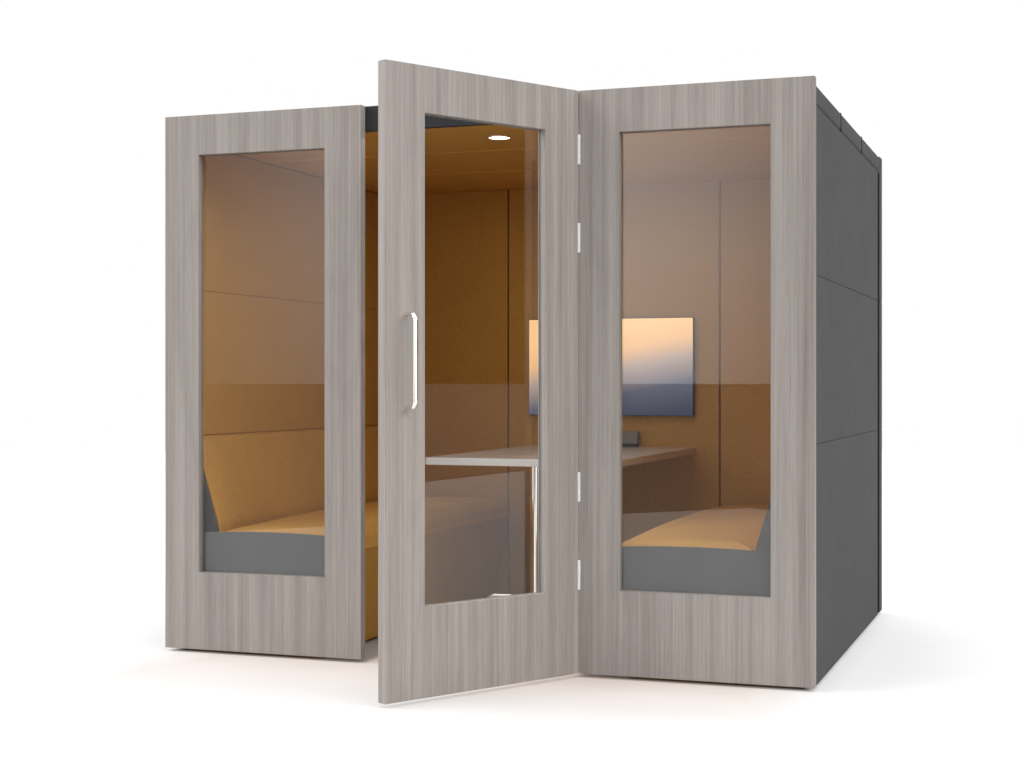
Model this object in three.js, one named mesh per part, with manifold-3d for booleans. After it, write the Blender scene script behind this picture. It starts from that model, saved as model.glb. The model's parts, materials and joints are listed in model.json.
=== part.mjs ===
// Acoustic office pod: a closed booth with two facing benches, a table between them,
// upholstered walls and roof, and a wood-laminate front whose middle panel is a hinged door.
// Millimetres, +Z up, +Y to the rear.
// The parts are placed from the middle of the front face at floor level.
import * as THREE from "three";
import { mergeVertices } from "three/addons/utils/BufferGeometryUtils.js";
import { RoundedBoxGeometry } from "three/addons/geometries/RoundedBoxGeometry.js";
import Module from "manifold-3d";

const wasm = await Module();
wasm.setup();

// Clearances
const TOUCH = 0.3; // between pieces that rest on each other
const ROW_SEAM = 0.6; // between neighbouring upholstered panels
const HINGE_RUN = 0.3; // between turning parts
const OVERCUT = 1; // how far a cutting shape runs past the face it cuts

// Facets
const SMALL_SIDES = 12;
const ROUND_SIDES = 24;
const WIDE_SIDES = 32;
const ARC_STEPS = 6; // along a quarter turn
const MERGE_DISTANCE = 1e-4; // corners closer than this are one corner

// Front wall
const FRONT_WIDTH = 2540;
const FRONT_HEIGHT = 2086;
const FRONT_THICKNESS = 38;
const FRONT_EDGE_RADIUS = 1.2;
const FLOOR_GAP = 14;
const FIXED_STILE = 150;
const TOP_RAIL = 155;
const BOTTOM_RAIL = 301;

// Glazing
const GLASS_THICKNESS = 8;
const GLASS_BITE = 6; // glass edge hidden past the window's edge
const GASKET_SIGHT = 1.5; // gasket width seen inside the window
const GASKET_LIP = 3; // gasket thickness in front of the glass
const GASKET_BACK = 5.2; // gasket thickness behind the glass
const GASKET_WALL = 3; // gasket thickness around the glass edge
const GASKET_RECESS = 1; // gasket back face below the panel's inner face

// Door
const DOOR_WIDTH = 854;
const DOOR_OFFSET = 2.65; // doorway's middle to the right of the front's middle
const DOOR_STILE = 162;
const DOOR_HINGE_GAP = 0.6;
const DOOR_LATCH_GAP = 2.7;
const DOOR_OPEN = THREE.MathUtils.degToRad(60); // as it stands at rest

// Hinges
const LOWER_HINGES = [353, 668]; // centres above the door's lower end
const UPPER_HINGES = [527, 211]; // centres below the door's upper end
const HINGE_LENGTH = 106;
const HINGE_PLATE = 2;
const HINGE_PLATE_DEPTH = 30;
const KNUCKLE_RADIUS = 6;
const KNUCKLE_CLEARANCE = 0.7; // round the knuckles, in the corners of the door and its panel
const KNUCKLE_COUNT = 5;
const PIN_RADIUS = 3;

// Pull handle
const HANDLE_TUBE_RADIUS = 9;
const HANDLE_HEIGHT = 1125; // middle above the floor
const HANDLE_CENTRES = 308;
const HANDLE_STANDOFF = 52; // tube axis to the door's face
const HANDLE_BEND = 24;
const HANDLE_EDGE = 84; // tube axis to the door's free edge
const BOLT_RADIUS = 3;
const BOLT_GRIP = 15; // thread inside the handle's foot
const BOLT_HEAD_RADIUS = 8;
const BOLT_HEAD_HEIGHT = 4;
const BOLT_HEAD_BEVEL = 2;
const HANDLE_STEPS = 40; // along the bent tube

// Upholstered shell
const WALL_LENGTH = 1856;
const WALL_THICKNESS = 62;
const LOWER_SEAM = 843; // the two rows above it are alike
const UPHOLSTERY_RADIUS = 12;
const LINING_THICKNESS = 18;
const LINING_RADIUS = 3;
const GROOVE_WIDTH = 3;
const GROOVE_DEPTH = 4;
const ROOF_THICKNESS = 76;
const ROOF_DROP = 18.7; // roof's top below the front's top
const ROOF_PANELS = 3;
const ROOF_LIP = 4; // solid edge of the roof between the door header and the ceiling lining
const HEADER_DEPTH = 18;
const HEADER_OVERLAP = 60; // header behind the fixed panels, each side of the doorway
const REAR_SHADOW_GAP = 16;
const REAR_THICKNESS = 98;
const REAR_LINING_INSET = 22; // lining face behind the rear panels' front edge
const REAR_SEAM_STEP = 10.3; // rear lining's seams past the benches' fronts
const RAIL_WIDTH = 32;
const RAIL_INSET = 16; // rail behind the outer faces of the walls
const RAIL_FRONT = 110; // rail's front end behind the pod's front face

// Benches
const SEAT_HEIGHT = 477; // at the cushion's ends
const SEAT_DEPTH = 536;
const SEAT_THICKNESS = 77;
const SEAT_CROWN = 8; // rise across the seat
const SEAT_SWELL = 20; // rise along the seat
const SEAT_RADIUS = 18;
const BACK_FOOT = 134; // back cushion's thickness at seat level
const BACK_TOP = 23; // back cushion's thickness at its upper edge
const BACK_CROWN = 8;
const BACK_CROWN_POWER = 8; // how level the crown runs before it falls to the ends
const BACK_RADIUS = 5;
const CUSHION_DRAW = 4; // how far the sides pull in between the corners
const CUSHION_LINES_ACROSS = 4;
const CUSHION_LINES_ALONG = 6;
const END_PANEL = 18;
const END_PANEL_DROP = 3; // end panel's edge below the cushions
const TOE_HEIGHT = 45;
const TOE_SETBACK = 85;
const PLINTH_SETBACK = 0.3; // plinth's front behind the seat's front

// Table
const TABLE_WIDTH = 820;
const TABLE_HEIGHT = 750;
const TABLE_THICKNESS = 30;
const TABLE_FRONT = 565; // front edge behind the pod's front face
const TABLE_CORNER = 25;
const COLUMN_RADIUS = 30;
const COLUMN_SETBACK = 239; // column axis behind the table's front edge
const FLANGE_RADIUS = 75;
const FLANGE_THICKNESS = 6;
const FOOT_RADIUS = 220;
const FOOT_THICKNESS = 14;
const FOOT_BEVEL = 8;
const CLEAT_LENGTH = 600;
const CLEAT_LEG = 40;
const CLEAT_WALL = 4;

// Screen and power module
const SCREEN_WIDTH = 822;
const SCREEN_HEIGHT = 467;
const SCREEN_RISE = 148; // lower edge above the table
const SCREEN_DEPTH = 30;
const SCREEN_BEZEL = 3;
const SCREEN_PANE = 3;
const SCREEN_RADIUS = 3;
const MODULE_WIDTH = 286;
const MODULE_HEIGHT = 74;
const MODULE_DEPTH = 58;
const MODULE_SLOPE = 26; // how far the front face leans back
const MODULE_FOOT = 16; // set-back foot under the sloping face
const MODULE_FOOT_INSET = 3;

// Downlight and fan
const LIGHT_FLANGE = 6.7; // ring past its sleeve
const LIGHT_RING_THICKNESS = 3;
const LIGHT_LENS_RADIUS = 40;
const LIGHT_LENS_THICKNESS = 4;
const LIGHT_SLEEVE_WALL = 2;
const LIGHT_SLEEVE = 36;
const FAN_OFFSET = 150; // fan's axis to the right of the middle
const FAN_FLANGE = 20; // ring past its duct
const FAN_RING_THICKNESS = 3;
const FAN_DUCT_RADIUS = 75;
const FAN_DUCT_WALL = 3;
const FAN_DUCT_DROP = 6; // duct's upper end below the roof's top
const FAN_HUB_RADIUS = 24;
const FAN_HUB_HEIGHT = 16;
const FAN_STRUTS = 3;
const FAN_STRUT_WIDTH = 8;
const FAN_SHAFT_RADIUS = 4;
const FAN_SHAFT = 26;
const FAN_BLADES = 7;
const FAN_BLADE_WIDTH = 30;
const FAN_BLADE_THICKNESS = 2.5;
const FAN_BLADE_PITCH = THREE.MathUtils.degToRad(32);
const FAN_ROTOR_HEIGHT = 20;
const FAN_TIP_GAP = 4;
const CEILING_HOLE_GAP = 1;

// Levels and faces that follow from the sizes above
const halfFront = FRONT_WIDTH / 2;
const shellFront = FRONT_THICKNESS + TOUCH;
const shellRear = shellFront + WALL_LENGTH;
const wallInner = halfFront - WALL_THICKNESS;
const liningInner = wallInner - LINING_THICKNESS;
const rearFront = shellRear + REAR_SHADOW_GAP;
const rearBack = rearFront + REAR_THICKNESS;
const rearLiningFront = rearFront + REAR_LINING_INSET;
const rearLiningBack = rearLiningFront + LINING_THICKNESS;
const frontTop = FLOOR_GAP + FRONT_HEIGHT;
const roofTop = frontTop - ROOF_DROP;
const roofBottom = roofTop - ROOF_THICKNESS;
const wallTop = roofBottom - TOUCH;
const upperSeam = (LOWER_SEAM + wallTop) / 2;
const roofPanelLength = WALL_LENGTH / ROOF_PANELS;
const roofPanelMiddle = (index) => shellFront + (index + 0.5) * roofPanelLength;
const glassRear = FRONT_THICKNESS - GASKET_RECESS - GASKET_BACK - TOUCH;
const glassFront = glassRear - GLASS_THICKNESS;
const benchBack = liningInner - TOUCH;
const benchFront = benchBack - BACK_FOOT - SEAT_DEPTH;
const backFoot = benchBack - BACK_FOOT;
const cushionFront = shellFront + TOUCH + END_PANEL + TOUCH;
const cushionRear = rearLiningFront - TOUCH;
const plinthTop = SEAT_HEIGHT - SEAT_THICKNESS;
const rearSeam = benchFront + REAR_SEAM_STEP;
const openingWidth = DOOR_WIDTH + DOOR_HINGE_GAP + DOOR_LATCH_GAP;
const openingLeft = DOOR_OFFSET - openingWidth / 2;
const openingRight = DOOR_OFFSET + openingWidth / 2;
const leftPanelWidth = halfFront + openingLeft;
const rightPanelWidth = halfFront - openingRight;
const pinX = openingRight - DOOR_HINGE_GAP / 2;
const hingeHeights = [
  ...LOWER_HINGES.map((rise) => FLOOR_GAP + rise),
  ...UPPER_HINGES.map((drop) => frontTop - drop),
];
const tableColumn = TABLE_FRONT + COLUMN_SETBACK;
const tableUnder = TABLE_HEIGHT - TABLE_THICKNESS;
const screenBottom = TABLE_HEIGHT + SCREEN_RISE;
const lightY = roofPanelMiddle(0);
const lightBore = LIGHT_LENS_RADIUS + TOUCH;
const lightSleeve = lightBore + LIGHT_SLEEVE_WALL;
const fanY = roofPanelMiddle(1);

// Finishes
const finish = (color, roughness, metalness = 0, opacity = 1) =>
  new THREE.MeshStandardMaterial({ color, roughness, metalness, opacity, transparent: opacity < 1 });
const wood = finish(0xa3998f, 0.55);
const glass = finish(0xe8eeee, 0.05, 0, 0.25);
const gasketRubber = finish(0x545250, 0.8);
const chrome = finish(0xd8d8d8, 0.12, 1);
const whiteMetal = finish(0xe9e8e6, 0.4, 0.2);
const greyFabric = finish(0x626262, 0.95);
const mustardFabric = finish(0xa9792f, 0.95);
const laminate = finish(0xe3ded7, 0.45);
const blackPlastic = finish(0x1d1d1e, 0.55);
const greyPlastic = finish(0x5c5c5e, 0.5);
const darkSteel = finish(0x303133, 0.5, 0.6);
const screenGlass = finish(0x8c8a90, 0.15);
const lightLens = finish(0xffffff, 0.4);

// A geometry as a solid that can be joined and cut
function solid(geometry) {
  const bare = geometry.clone();
  bare.deleteAttribute("normal");
  bare.deleteAttribute("uv");
  const merged = mergeVertices(bare, MERGE_DISTANCE);
  const vertProperties = new Float32Array(merged.getAttribute("position").array);
  const triVerts = new Uint32Array(merged.index.array);
  return new wasm.Manifold(new wasm.Mesh({ numProp: 3, vertProperties, triVerts }));
}

function geometryOf(body) {
  const mesh = body.getMesh();
  const geometry = new THREE.BufferGeometry();
  geometry.setAttribute("position", new THREE.BufferAttribute(mesh.vertProperties, 3));
  geometry.setIndex(new THREE.BufferAttribute(mesh.triVerts, 1));
  geometry.computeVertexNormals();
  return geometry;
}

function cut(base, ...tools) {
  return geometryOf(tools.reduce((body, tool) => body.subtract(solid(tool)), solid(base)));
}

function join(...pieces) {
  return geometryOf(pieces.map(solid).reduce((body, piece) => body.add(piece)));
}

// A box between two corners, with plain or rounded edges
function block(low, high, radius = 0) {
  const size = high.map((value, i) => value - low[i]);
  const middle = high.map((value, i) => (value + low[i]) / 2);
  const box = radius ? new RoundedBoxGeometry(...size, 1, radius) : new THREE.BoxGeometry(...size);
  return box.translate(...middle);
}

// A vertical cylinder between two heights, on the middle plane
function post(y, bottom, top, radius, sides) {
  const height = top - bottom;
  const cylinder = new THREE.CylinderGeometry(radius, radius, height, sides);
  return cylinder.rotateX(Math.PI / 2).translate(0, y, bottom + height / 2);
}

// A profile of [radius, height] points turned about the vertical axis
function turned(points, sides) {
  const profile = points.map(([radius, height]) => new THREE.Vector2(radius, height));
  return new THREE.LatheGeometry(profile, sides).rotateX(Math.PI / 2);
}

// An X-Z outline drawn out along Y, and a Y-Z outline drawn out along X
function prismAlongY(shape, front, rear) {
  const geometry = new THREE.ExtrudeGeometry(shape, { depth: rear - front, bevelEnabled: false });
  return geometry.rotateX(Math.PI / 2).translate(0, rear, 0);
}

function prismAlongX(points, left, right) {
  const shape = new THREE.Shape(points.map(([y, z]) => new THREE.Vector2(y, z)));
  const geometry = new THREE.ExtrudeGeometry(shape, { depth: right - left, bevelEnabled: false });
  return geometry.rotateX(Math.PI / 2).rotateZ(Math.PI / 2).translate(left, 0, 0);
}

function add(group, name, geometry, material) {
  const mesh = new THREE.Mesh(geometry, material);
  mesh.name = name;
  group.add(mesh);
  return mesh;
}

// Front wall: each panel is a board with a window, a rebate behind it, a gasket and a pane.
// A panel's own frame starts at its lower left front corner.
function windowEdges(width, stile) {
  return { left: stile, right: width - stile, bottom: BOTTOM_RAIL, top: FRONT_HEIGHT - TOP_RAIL };
}

function windowBlock(edges, margin, front, rear) {
  const low = [edges.left - margin, front, edges.bottom - margin];
  const high = [edges.right + margin, rear, edges.top + margin];
  return block(low, high);
}

function glazedBoard(width, stile, cuts) {
  const edges = windowEdges(width, stile);
  const rebateFront = glassFront - GASKET_LIP - TOUCH;
  const rebateMargin = GLASS_BITE + GASKET_WALL + TOUCH;
  const board = block([0, 0, 0], [width, FRONT_THICKNESS, FRONT_HEIGHT], FRONT_EDGE_RADIUS);
  const sight = windowBlock(edges, 0, -OVERCUT, FRONT_THICKNESS + OVERCUT);
  const rebate = windowBlock(edges, rebateMargin, rebateFront, FRONT_THICKNESS + OVERCUT);
  return cut(board, sight, rebate, ...cuts);
}

function glazingGasket(width, stile) {
  const edges = windowEdges(width, stile);
  const front = glassFront - GASKET_LIP;
  const rear = FRONT_THICKNESS - GASKET_RECESS;
  const ring = windowBlock(edges, GLASS_BITE + GASKET_WALL, front, rear);
  const sight = windowBlock(edges, -GASKET_SIGHT, front - OVERCUT, rear + OVERCUT);
  const pocket = windowBlock(edges, GLASS_BITE + TOUCH, glassFront - TOUCH, glassRear + TOUCH);
  return cut(ring, sight, pocket);
}

function glassPane(width, stile) {
  const edges = windowEdges(width, stile);
  return windowBlock(edges, GLASS_BITE, glassFront, glassRear);
}

// Recesses in a panel's left or right edge for each hinge: flat for the plate, round for the knuckles
function hingeMortises(edgeX, inward) {
  const far = edgeX + inward * (HINGE_PLATE + TOUCH);
  const near = edgeX - inward * OVERCUT;
  const pin = edgeX - (inward * DOOR_HINGE_GAP) / 2;
  return hingeHeights.flatMap((height) => {
    const middle = height - FLOOR_GAP;
    const reach = HINGE_LENGTH / 2 + TOUCH;
    const low = [Math.min(near, far), -OVERCUT, middle - reach];
    const high = [Math.max(near, far), HINGE_PLATE_DEPTH + TOUCH, middle + reach];
    const radius = KNUCKLE_RADIUS + KNUCKLE_CLEARANCE;
    const pocket = post(0, middle - reach, middle + reach, radius, SMALL_SIDES);
    return [block(low, high), pocket.translate(pin, 0, 0)];
  });
}

function glazedPanel(group, names, width, stile, cuts) {
  add(group, names.board, glazedBoard(width, stile, cuts), wood);
  add(group, names.gasket, glazingGasket(width, stile), gasketRubber);
  add(group, names.glass, glassPane(width, stile), glass);
}

function frontWall() {
  const left = new THREE.Group();
  left.position.set(-halfFront, 0, FLOOR_GAP);
  const leftNames = { board: "left_front_panel", gasket: "left_glazing_gasket", glass: "left_glass" };
  glazedPanel(left, leftNames, leftPanelWidth, FIXED_STILE, []);

  const right = new THREE.Group();
  right.position.set(openingRight, 0, FLOOR_GAP);
  const rightNames = { board: "right_front_panel", gasket: "right_glazing_gasket", glass: "right_glass" };
  glazedPanel(right, rightNames, rightPanelWidth, FIXED_STILE, hingeMortises(0, 1));

  const front = new THREE.Group();
  front.add(left, right);
  return front;
}

// Hinges, drawn about the pin: side is +1 for the leaf on the fixed panel and -1 for the one on the door
function knuckleSpan(index) {
  const pitch = (HINGE_LENGTH + HINGE_RUN) / KNUCKLE_COUNT;
  const bottom = index * pitch - HINGE_LENGTH / 2;
  return [bottom, bottom + pitch - HINGE_RUN];
}

function hingeLeaf(side) {
  const inner = (side * DOOR_HINGE_GAP) / 2;
  const outer = inner + side * HINGE_PLATE;
  const low = Math.min(inner, outer);
  const high = Math.max(inner, outer);
  const half = HINGE_LENGTH / 2;
  const plateFront = KNUCKLE_RADIUS + HINGE_RUN;
  const plate = block([low, plateFront, -half], [high, HINGE_PLATE_DEPTH, half]);
  const first = side > 0 ? 0 : 1;
  const pieces = [plate];
  for (let index = first; index < KNUCKLE_COUNT; index += 2) {
    const [bottom, top] = knuckleSpan(index);
    pieces.push(post(0, bottom, top, KNUCKLE_RADIUS, SMALL_SIDES));
    pieces.push(block([low, 0, bottom], [high, plateFront + HINGE_PLATE, top]));
  }
  if (side > 0) return join(...pieces, post(0, -half, half, PIN_RADIUS, SMALL_SIDES));
  const bore = post(0, -half - OVERCUT, half + OVERCUT, PIN_RADIUS + HINGE_RUN, SMALL_SIDES);
  return cut(join(...pieces), bore);
}

function addHingeLeaves(group, side, ending) {
  hingeHeights.forEach((height, index) => {
    const leaf = add(group, `hinge_${index + 1}_${ending}`, hingeLeaf(side), whiteMetal);
    leaf.position.z = height;
  });
}

// Door, drawn closed about the pin and turned to the way it stands
function boltFrom(y, reach) {
  const profile = [
    [0, 0],
    [BOLT_RADIUS, 0],
    [BOLT_RADIUS, reach],
    [BOLT_HEAD_RADIUS, reach],
    [BOLT_HEAD_RADIUS - BOLT_HEAD_BEVEL, reach + BOLT_HEAD_HEIGHT],
    [0, reach + BOLT_HEAD_HEIGHT],
  ];
  return turned(profile, SMALL_SIDES).rotateX(-Math.PI / 2).translate(0, y, 0);
}

function alongY(x, z, front, rear, radius) {
  const length = rear - front;
  const cylinder = new THREE.CylinderGeometry(radius, radius, length, SMALL_SIDES);
  return cylinder.translate(x, front + length / 2, z);
}

function handleTube() {
  const foot = -TOUCH;
  const reach = -HANDLE_STANDOFF;
  const legEnd = reach + HANDLE_BEND;
  const half = HANDLE_CENTRES / 2;
  const gripEnd = half - HANDLE_BEND;
  const path = new THREE.CurvePath();
  const point = (y, z) => new THREE.Vector3(0, y, z);
  const lowerBend = [point(legEnd, -half), point(reach, -half), point(reach, -gripEnd)];
  const upperBend = [point(reach, gripEnd), point(reach, half), point(legEnd, half)];
  path.add(new THREE.LineCurve3(point(foot, -half), lowerBend[0]));
  path.add(new THREE.QuadraticBezierCurve3(...lowerBend));
  path.add(new THREE.LineCurve3(lowerBend[2], upperBend[0]));
  path.add(new THREE.QuadraticBezierCurve3(...upperBend));
  path.add(new THREE.LineCurve3(upperBend[2], point(foot, half)));
  const section = new THREE.Shape().absarc(0, 0, HANDLE_TUBE_RADIUS, 0, 2 * Math.PI);
  const sweep = { steps: HANDLE_STEPS, curveSegments: ARC_STEPS, extrudePath: path };
  return new THREE.ExtrudeGeometry(section, sweep);
}

function pullHandle() {
  const half = HANDLE_CENTRES / 2;
  const bore = BOLT_RADIUS + TOUCH;
  const holes = [-half, half].map((z) => alongY(0, z, -BOLT_GRIP - TOUCH, OVERCUT, bore));
  return cut(handleTube(), ...holes);
}

function door() {
  const swing = new THREE.Group();
  swing.position.set(pinX, 0, 0);
  swing.rotation.z = DOOR_OPEN;
  addHingeLeaves(swing, -1, "door_leaf");

  const leaf = new THREE.Group();
  leaf.position.set(-DOOR_HINGE_GAP / 2 - DOOR_WIDTH, 0, FLOOR_GAP);
  swing.add(leaf);

  const half = HANDLE_CENTRES / 2;
  const handleZ = HANDLE_HEIGHT - FLOOR_GAP;
  const holeRadius = BOLT_RADIUS + TOUCH;
  const bolts = { handle_bolt_lower: handleZ - half, handle_bolt_upper: handleZ + half };
  const holeRear = FRONT_THICKNESS + OVERCUT;
  const holes = Object.values(bolts).map((z) => alongY(HANDLE_EDGE, z, -OVERCUT, holeRear, holeRadius));
  const names = { board: "door_leaf", gasket: "door_glazing_gasket", glass: "door_glass" };
  glazedPanel(leaf, names, DOOR_WIDTH, DOOR_STILE, [...hingeMortises(DOOR_WIDTH, -1), ...holes]);

  add(leaf, "pull_handle", pullHandle(), chrome).position.set(HANDLE_EDGE, 0, handleZ);
  const shank = BOLT_GRIP + FRONT_THICKNESS + TOUCH;
  for (const [name, z] of Object.entries(bolts)) {
    add(leaf, name, boltFrom(-BOLT_GRIP, shank), chrome).position.set(HANDLE_EDGE, 0, z);
  }
  return swing;
}

function fixedHingeLeaves() {
  const group = new THREE.Group();
  group.position.set(pinX, 0, 0);
  addHingeLeaves(group, 1, "frame_leaf");
  return group;
}

// Shell: the rows of upholstered panels share their seam heights
const rows = [
  { name: "lower", bottom: FLOOR_GAP, top: LOWER_SEAM },
  { name: "middle", bottom: LOWER_SEAM + ROW_SEAM, top: upperSeam },
  { name: "upper", bottom: upperSeam + ROW_SEAM, top: wallTop },
];
const liningSeams = [LOWER_SEAM, upperSeam];

// One side wall, drawn on the right; the left one is its mirror image
function sideWall(side) {
  const wall = new THREE.Group();
  if (side === "left") wall.scale.x = -1;
  for (const row of rows) {
    const low = [wallInner, shellFront, row.bottom];
    const high = [halfFront, shellRear, row.top];
    add(wall, `${side}_wall_${row.name}`, block(low, high, UPHOLSTERY_RADIUS), greyFabric);
  }
  const low = [liningInner, shellFront, FLOOR_GAP];
  const high = [wallInner - TOUCH, rearLiningFront - TOUCH, wallTop];
  const grooves = liningSeams.map((seam) =>
    block(
      [liningInner - OVERCUT, shellFront - OVERCUT, seam - GROOVE_WIDTH / 2],
      [liningInner + GROOVE_DEPTH, rearLiningFront + OVERCUT, seam + GROOVE_WIDTH / 2],
    ),
  );
  add(wall, `${side}_wall_lining`, cut(block(low, high, LINING_RADIUS), ...grooves), mustardFabric);

  const railRight = halfFront - RAIL_INSET;
  const railLow = [railRight - RAIL_WIDTH, RAIL_FRONT, 0];
  const railHigh = [railRight, rearBack - RAIL_INSET, FLOOR_GAP - TOUCH];
  add(wall, `${side}_base_rail`, block(railLow, railHigh), darkSteel);
  return wall;
}

function rearWall() {
  const wall = new THREE.Group();
  const recessHalf = wallInner + TOUCH;
  const recessTop = roofBottom + LINING_THICKNESS + TOUCH;
  const recess = block(
    [-recessHalf, rearFront - OVERCUT, 0],
    [recessHalf, rearLiningBack + TOUCH, recessTop],
  );
  for (const row of rows) {
    const top = row.name === "upper" ? roofTop : row.top;
    const low = [-halfFront, rearFront, row.bottom];
    const panel = block(low, [halfFront, rearBack, top], UPHOLSTERY_RADIUS);
    add(wall, `rear_wall_${row.name}`, cut(panel, recess), greyFabric);
  }
  const columns = {
    left: [-wallInner, -rearSeam],
    centre: [-rearSeam, rearSeam],
    right: [rearSeam, wallInner],
  };
  for (const [name, [left, right]] of Object.entries(columns)) {
    const low = [left + ROW_SEAM / 2, rearLiningFront, FLOOR_GAP];
    const high = [right - ROW_SEAM / 2, rearLiningBack, wallTop];
    add(wall, `rear_lining_${name}`, block(low, high, LINING_RADIUS), mustardFabric);
  }
  return wall;
}

function roof() {
  const group = new THREE.Group();
  const headerRear = shellFront + HEADER_DEPTH;
  const headerLow = [openingLeft - HEADER_OVERLAP, shellFront, roofBottom];
  const headerHigh = [openingRight + HEADER_OVERLAP, headerRear, frontTop];
  add(group, "door_header", block(headerLow, headerHigh), darkSteel);
  const notch = block(
    [headerLow[0] - TOUCH, shellFront - OVERCUT, roofBottom - OVERCUT],
    [headerHigh[0] + TOUCH, headerRear + TOUCH, roofTop + OVERCUT],
  );
  const liningFront = headerRear + TOUCH + ROOF_LIP;
  const liningTop = roofBottom + LINING_THICKNESS;
  const holeBottom = roofBottom - OVERCUT;
  const lightHoleRadius = lightSleeve + CEILING_HOLE_GAP;
  const fanHoleRadius = FAN_DUCT_RADIUS + CEILING_HOLE_GAP;
  const lightHole = post(lightY, holeBottom, roofBottom + LIGHT_SLEEVE, lightHoleRadius, ROUND_SIDES);
  const fanHole = post(fanY, holeBottom, roofTop + OVERCUT, fanHoleRadius, ROUND_SIDES);
  fanHole.translate(FAN_OFFSET, 0, 0);
  const recess = block([-liningInner, liningFront, holeBottom], [liningInner, rearBack, liningTop + TOUCH]);
  const seams = [];
  for (let index = 0; index < ROOF_PANELS; index += 1) {
    const front = shellFront + index * roofPanelLength + (index ? ROW_SEAM : 0);
    const rear = shellFront + (index + 1) * roofPanelLength;
    const panel = block([-halfFront, front, roofBottom], [halfFront, rear, roofTop], UPHOLSTERY_RADIUS);
    const pierced = cut(panel, notch, recess, lightHole, fanHole);
    add(group, `roof_panel_${index + 1}`, pierced, greyFabric);
    if (index) seams.push(front);
  }
  const low = [TOUCH - liningInner, liningFront + TOUCH, roofBottom];
  const high = [liningInner - TOUCH, rearLiningBack, liningTop];
  const grooves = seams.map((seam) =>
    block(
      [-halfFront, seam - GROOVE_WIDTH / 2, holeBottom],
      [halfFront, seam + GROOVE_WIDTH / 2, roofBottom + GROOVE_DEPTH],
    ),
  );
  const lining = cut(block(low, high, LINING_RADIUS), lightHole, fanHole, ...grooves);
  add(group, "ceiling_lining", lining, mustardFabric);
  return group;
}

// A cushion lying flat: depth along X, length along Y, and its face above them at faceAt(u, v),
// where u and v run from -1 to 1. Its edges are round and its sides pull in between the corners.
function gridLine(half, radius, inner) {
  const corner = [half, half - radius * (1 - Math.SQRT1_2), half - radius];
  const middle = Array.from({ length: inner }, (_, i) => ((i + 1) / (inner + 1)) * 2 - 1);
  const spread = middle.map((value) => value * (half - radius));
  return [...corner.map((value) => -value), ...spread, ...corner.reverse()];
}

function cushion(depth, length, faceAt, radius) {
  const half = new THREE.Vector3(depth / 2, length / 2, 0.5);
  const lift = radius / Math.min(faceAt(-1, -1), faceAt(1, 1));
  const lines = [
    gridLine(half.x, radius, CUSHION_LINES_ACROSS),
    gridLine(half.y, radius, CUSHION_LINES_ALONG),
    gridLine(half.z, lift, 0),
  ];
  const counts = lines.map((line) => line.length - 1);
  const geometry = new THREE.BoxGeometry(1, 1, 1, ...counts);
  const position = geometry.getAttribute("position");
  const onLine = (value, axis) => lines[axis][Math.round((value + 0.5) * counts[axis])];
  const core = new THREE.Vector3(half.x - radius, half.y - radius, half.z - lift);
  const unit = new THREE.Vector3(radius, radius, lift);
  for (let i = 0; i < position.count; i += 1) {
    const point = new THREE.Vector3(
      onLine(position.getX(i), 0),
      onLine(position.getY(i), 1),
      onLine(position.getZ(i), 2),
    );
    const inside = point.clone().clamp(core.clone().negate(), core);
    const out = point.clone().sub(inside).divide(unit).normalize().multiply(unit);
    point.copy(inside).add(out);
    const u = point.x / half.x;
    const v = point.y / half.y;
    const x = point.x - CUSHION_DRAW * u * (1 - v * v);
    const y = point.y - CUSHION_DRAW * v * (1 - u * u);
    position.setXYZ(i, x, y, (point.z + half.z) * faceAt(u, v));
  }
  return geometry;
}

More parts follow.
